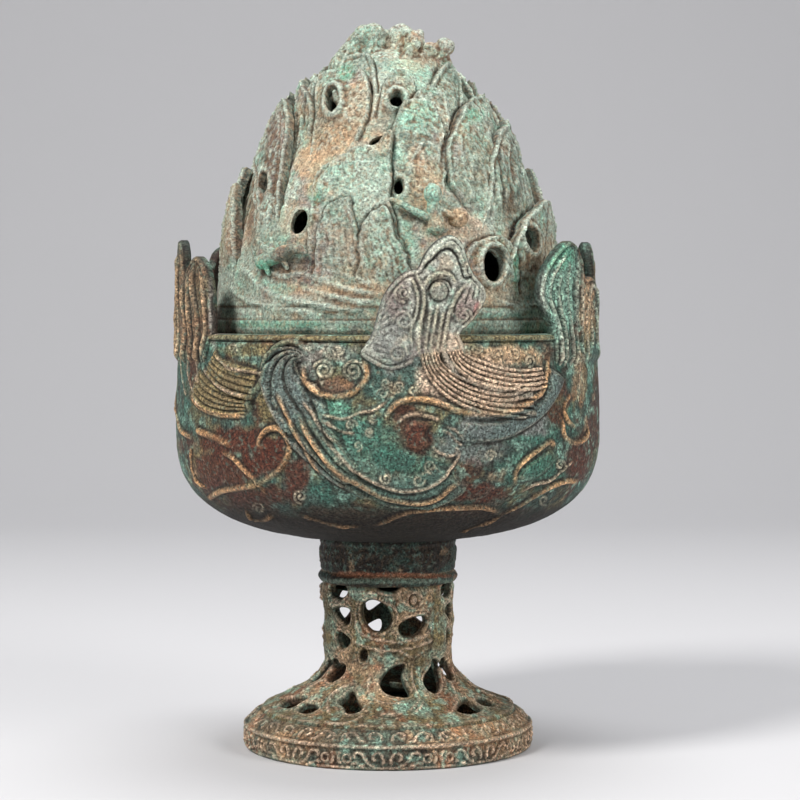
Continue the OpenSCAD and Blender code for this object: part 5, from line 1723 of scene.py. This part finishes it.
def make_collar():
    corners = [
        (COLLAR_BORE_R, STEM_TOP), (COLLAR_R, STEM_TOP),
        (COLLAR_R, BOWL_BASE), (COLLAR_BORE_R, BOWL_BASE),
    ]
    az = np.linspace(-180.0, 180.0, 320, endpoint=False)
    spots = [(400, 576, 60, 3, RUST, 0.7), (350, 574, 20, 3, RUST, 0.6), (388, 581, 80, 3, GREEN, 0.5)]
    piece = Piece()
    add_turned(piece, dense(corners, 0.45), az, collar_relief, STYLE_COLLAR, spots)
    piece.build("collar_band", "stand", "stem_collar", MAT_FOOT)


make_stem()
make_foot()
make_collar()


def ball(centre, radii, n=20):
    """A ball or an egg as points and quads."""
    a = np.linspace(0.0, 2.0 * math.pi, n, endpoint=False)
    b = np.linspace(-math.pi / 2.0, math.pi / 2.0, n // 2 + 1)
    gb, ga = np.meshgrid(b, a, indexing="ij")
    unit = np.stack([np.cos(gb) * np.cos(ga), np.cos(gb) * np.sin(ga), np.sin(gb)], -1).reshape(-1, 3)
    return unit * np.asarray(radii, float) + np.asarray(centre, float), grid_quads(len(b), n, False)


def rod(start, end, r0, r1, n=14):
    """A tapered rod with round ends."""
    p0 = np.asarray(start, float)
    p1 = np.asarray(end, float)
    axis = (p1 - p0) / np.linalg.norm(p1 - p0)
    side = np.cross(axis, [0.31, 0.52, 0.79])
    side /= np.linalg.norm(side)
    other = np.cross(axis, side)
    rings = []
    for b in np.linspace(-90.0, 0.0, 6):
        rings.append((p0 + axis * r0 * math.sin(b * RAD), r0 * math.cos(b * RAD)))
    for b in np.linspace(0.0, 90.0, 6):
        rings.append((p1 + axis * r1 * math.sin(b * RAD), r1 * math.cos(b * RAD)))
    a = np.linspace(0.0, 2.0 * math.pi, n, endpoint=False)
    verts = [c + r * (np.cos(a)[:, None] * side + np.sin(a)[:, None] * other) for c, r in rings]
    return np.vstack(verts), grid_quads(len(rings), n, False)


def fused(shapes, voxel, smooth):
    """Shapes joined into one skin, as points, faces and normals."""
    verts = []
    faces = []
    n = 0
    for v, f in shapes:
        verts.append(v)
        faces += (f + n).tolist()
        n += len(v)
    mesh = bpy.data.meshes.new("lump")
    mesh.from_pydata(np.vstack(verts).tolist(), [], faces)
    obj = bpy.data.objects.new("lump", mesh)
    bpy.context.scene.collection.objects.link(obj)
    grid = obj.modifiers.new("skin", "REMESH")
    grid.mode = "VOXEL"
    grid.voxel_size = voxel
    soft = obj.modifiers.new("soft", "SMOOTH")
    soft.factor = 0.5
    soft.iterations = smooth
    made = obj.evaluated_get(bpy.context.evaluated_depsgraph_get()).to_mesh()
    pts = np.zeros(len(made.vertices) * 3)
    made.vertices.foreach_get("co", pts)
    nor = np.zeros(len(made.vertices) * 3)
    made.vertices.foreach_get("normal", nor)
    quads = np.array([tuple(p.vertices) for p in made.polygons if len(p.vertices) == 4], int)
    bpy.data.objects.remove(obj)
    bpy.data.meshes.remove(mesh)
    return pts.reshape(-1, 3), quads, nor.reshape(-1, 3)


def around(az, r, z):
    """One point at an azimuth, radius and height."""
    return np.array([r * math.sin(az * RAD), -r * math.cos(az * RAD), z])


def make_lump(name, node, shapes, voxel, smooth, rough, spots, floor=None):
    """A cast-on figure: shapes joined into one rough skin, with its middle kept over a floor."""
    pts, quads, nor = fused(shapes, voxel, smooth)
    h = uneven(pts, rough, 5.0, 157, 3) + uneven(pts, 0.5 * rough, 1.8, 163, 2)
    pts = pts + nor * h[:, None]
    if floor:
        r = np.hypot(pts[:, 0], pts[:, 1])
        pts[:, 2] = np.maximum(pts[:, 2], floor - 1.7 * np.maximum(0.0, r - 17.5))
    broad = pts - np.stack([mean_round(pts[:, k], [quads], 6) for k in range(3)], -1)
    cav = 2.2 * (broad * nor).sum(1)
    tint, wear = patina(pts, cav, STYLE_LID, spots)
    piece = Piece()
    piece.add(pts, [quads], None, tint, wear)
    piece.build(name, "lid", node, MAT_LID)


SUMMIT = [
    ball((2.0, 0.5, 260.5), (20.5, 18.5, 10.0), 40),
    rod((-17.0, -4.0, 262.0), (-9.0, -3.0, 274.5), 6.0, 4.6),
    rod((-6.0, -5.0, 263.0), (-5.0, -4.0, 275.0), 7.0, 4.4),
    rod((5.0, -5.0, 262.0), (5.0, -3.0, 274.6), 8.0, 5.0),
    rod((20.0, 0.0, 258.0), (17.0, 0.0, 266.0), 7.0, 6.5),
    rod((0.0, 10.0, 261.0), (-1.0, 8.0, 273.0), 9.0, 5.6),
    rod((12.0, 10.0, 259.0), (10.0, 9.0, 268.0), 8.0, 6.0),
    rod((-13.0, 8.0, 258.0), (-10.0, 6.0, 267.0), 7.0, 5.0),
    rod((12.0, -8.0, 259.0), (12.0, -7.0, 265.0), 7.0, 5.0),
    rod((-12.0, -11.0, 256.0), (-11.0, -9.0, 264.0), 6.0, 3.6),
    rod((17.0, -2.0, 263.0), (21.4, -2.6, 269.6), 4.6, 3.2), ball((21.8, -2.8, 270.8), (3.7, 3.7, 3.6)),
    ball((9.8, -9.4, 272.2), (4.4, 3.4, 4.0)), ball((7.4, -9.8, 275.2), (2.2, 2.0, 2.0)),
    ball((12.4, -9.4, 274.4), (1.9, 1.8, 2.0)), ball((10.6, -12.0, 270.6), (2.2, 1.8, 2.2)),
    rod((8.0, -11.0, 266.0), (9.4, -10.4, 271.0), 3.4, 2.6),
]


def seat(share, out):
    """Points by a figure that stands out of the mountain at a share of its full height."""
    seat_r = hill_radius(share) + out
    seat_z = HILL_Z + HILL_H * share

    def by_seat(az, r, z):
        return around(az, seat_r + r, seat_z + z)

    return by_seat


by_hunter = seat(0.32, 4.0)
by_beast = seat(0.16, 3.6)
HUNTER = [
    rod(by_hunter(17.0, 0.0, -6.0), by_hunter(15.8, -0.4, 2.0), 3.4, 2.3),
    ball(by_hunter(17.4, -0.6, -7.0), (4.2, 2.6, 2.2)), ball(by_hunter(15.7, -0.2, 5.6), (3.4, 3.2, 3.6)),
    ball(by_hunter(15.7, -1.2, 8.4), (1.7, 1.6, 1.3)),
    ball(by_hunter(15.7, 2.4, 5.0), (0.6, 0.8, 0.9), 12),
    rod(by_hunter(13.6, -0.2, -3.0), by_hunter(4.4, -1.2, 2.4), 1.5, 1.1),
    rod(by_hunter(4.6, -1.2, 2.2), by_hunter(1.6, -1.6, 3.6), 1.2, 0.8),
    rod(by_hunter(17.8, 0.0, 0.0), by_hunter(23.6, -0.2, -2.4), 1.5, 1.2),
    ball(by_hunter(25.4, -0.6, -2.8), (3.9, 2.2, 3.9)),
    ball(by_hunter(25.6, 1.0, -2.8), (1.5, 1.2, 1.5), 12),
]
BEAST = [
    rod(by_beast(-44.0, -0.8, -2.0), by_beast(-34.0, -0.4, 1.4), 2.8, 2.7),
    rod(by_beast(-34.0, -0.2, 1.8), by_beast(-30.0, 0.2, 2.6), 2.3, 1.9),
    ball(by_beast(-28.6, 0.4, 2.4), (2.3, 2.0, 1.8)),
    rod(by_beast(-27.6, 0.4, 2.0), by_beast(-26.2, 0.4, 1.5), 1.2, 0.9),
    rod(by_beast(-29.8, 0.0, 3.8), by_beast(-30.8, -0.2, 5.0), 0.9, 0.5),
    rod(by_beast(-40.0, -0.4, 1.2), by_beast(-46.0, -0.6, 6.0), 1.6, 0.8),
    rod(by_beast(-39.0, -0.4, 1.6), by_beast(-40.0, -0.6, 6.6), 1.5, 0.7),
    rod(by_beast(-44.6, -1.0, -2.0), by_beast(-48.4, -1.2, -0.6), 1.4, 0.9),
    rod(by_beast(-48.4, -1.2, -0.6), by_beast(-48.0, -1.0, 2.4), 0.9, 0.6),
    rod(by_beast(-42.0, -0.6, -3.6), by_beast(-41.0, -0.8, -6.4), 1.2, 0.9),
    rod(by_beast(-35.0, -0.4, -0.8), by_beast(-33.4, -0.6, -4.2), 1.2, 0.9),
]
SUMMIT_FLOOR = 263.0
HUNTER_SPOTS = [
    (430, 197, 12, 12, MINT, 0.9), (412, 212, 22, 12, MINT, 0.7), (454, 220, 13, 13, EARTH, 0.8),
]
BEAST_SPOTS = [(292, 258, 26, 14, UMBER, 0.6), (268, 266, 14, 8, JADE, 0.7)]
make_lump("summit_lobes", "summit", SUMMIT, 0.55, 5, 0.9, LID_SPOTS, SUMMIT_FLOOR)
make_lump("hunter_figure", "hunter", HUNTER, 0.28, 3, 0.35, HUNTER_SPOTS)
make_lump("beast_figure", "beast", BEAST, 0.28, 3, 0.35, BEAST_SPOTS)


def hammered(name, low, high):
    """Plain hammered metal for the rivet and its washer."""
    mat = bpy.data.materials.new(name)
    mat.use_nodes = True
    nodes = mat.node_tree.nodes
    links = mat.node_tree.links
    shader = nodes["Principled BSDF"]
    place = nodes.new("ShaderNodeTexCoord")
    tex = nodes.new("ShaderNodeTexNoise")
    tex.inputs["Scale"].default_value = 240.0
    tex.inputs["Detail"].default_value = 6.0
    links.new(place.outputs["Object"], tex.inputs["Vector"])
    ramp = nodes.new("ShaderNodeValToRGB")
    ramp.color_ramp.elements[0].color = (*low, 1.0)
    ramp.color_ramp.elements[1].color = (*high, 1.0)
    ramp.color_ramp.elements[0].position = 0.42
    ramp.color_ramp.elements[1].position = 0.72
    links.new(tex.outputs["Fac"], ramp.inputs["Fac"])
    links.new(ramp.outputs["Color"], shader.inputs["Base Color"])
    shader.inputs["Metallic"].default_value = 0.45
    shader.inputs["Roughness"].default_value = 0.62
    bump = nodes.new("ShaderNodeBump")
    bump.inputs["Strength"].default_value = 0.6
    bump.inputs["Distance"].default_value = 0.0006
    links.new(tex.outputs["Fac"], bump.inputs["Height"])
    links.new(bump.outputs["Normal"], shader.inputs["Normal"])
    return mat


for name, low, high in (("rivet", linear(46, 40, 36), RUST), ("rivet_washer", UMBER, TEAL)):
    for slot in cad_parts[name].material_slots:
        slot.material = hammered(name + "_metal", low, high)


# Lights, floor and camera.
def make_stage():
    """A pale floor in metres that bends up behind the part."""
    verts = []
    faces = []
    bend_y = 0.9
    bend_r = 0.7
    half = 5.0
    path = [(-3.0, 0.0), (bend_y, 0.0)]
    for i in range(1, 13):
        a = i * 7.5 * RAD
        path.append((bend_y + bend_r * math.sin(a), bend_r - bend_r * math.cos(a)))
    path.append((bend_y + bend_r, 4.0))
    for y, z in path:
        verts += [(-half, y, z), (half, y, z)]
    for i in range(len(path) - 1):
        faces.append((2 * i, 2 * i + 1, 2 * i + 3, 2 * i + 2))
    mesh = bpy.data.meshes.new("floor")
    mesh.from_pydata(verts, [], faces)
    mesh.shade_smooth()
    floor = bpy.data.objects.new("floor", mesh)
    bpy.context.scene.collection.objects.link(floor)
    mat = bpy.data.materials.new("pale_floor")
    mat.use_nodes = True
    shader = mat.node_tree.nodes["Principled BSDF"]
    shader.inputs["Base Color"].default_value = (0.62, 0.62, 0.64, 1.0)
    shader.inputs["Roughness"].default_value = 0.85
    mesh.materials.append(mat)


def lamp(name, at, aim, size, power, colour):
    """A soft round light, in metres and watts."""
    data = bpy.data.lights.new(name, "AREA")
    data.shape = "DISK"
    data.size = size
    data.energy = power
    data.color = colour
    obj = bpy.data.objects.new(name, data)
    obj.location = at
    obj.rotation_euler = (Vector(aim) - Vector(at)).to_track_quat("-Z", "Y").to_euler()
    bpy.context.scene.collection.objects.link(obj)


make_stage()
lamp("key", (-0.75, -0.80, 1.25), (0.0, 0.0, 0.17), 0.4, 21.0, (1.0, 0.98, 0.95))
lamp("fill", (0.95, -0.75, 0.75), (0.0, 0.0, 0.18), 0.6, 8.0, (1.0, 0.98, 0.95))
lamp("top", (0.1, 0.25, 1.3), (0.0, 0.0, 0.2), 0.8, 9.0, (1.0, 1.0, 1.0))
world = bpy.data.worlds.new("studio")
world.use_nodes = True
world.node_tree.nodes["Background"].inputs["Color"].default_value = (0.9, 0.92, 0.95, 1.0)
world.node_tree.nodes["Background"].inputs["Strength"].default_value = 0.25
bpy.context.scene.world = world
bpy.context.scene.view_settings.view_transform = "Standard"

eye = bpy.data.cameras.new("front")
eye.sensor_width = 36.0
eye.lens = VIEW_F * eye.sensor_width / VIEW_SIZE
eye.clip_start = 0.01
camera = bpy.data.objects.new("front", eye)
camera.location = VIEW_AT * MM
camera.rotation_euler = (math.pi / 2.0 - VIEW_TILT, 0.0, 0.0)
bpy.context.scene.collection.objects.link(camera)
bpy.context.scene.camera = camera

bpy.context.view_layer.update()
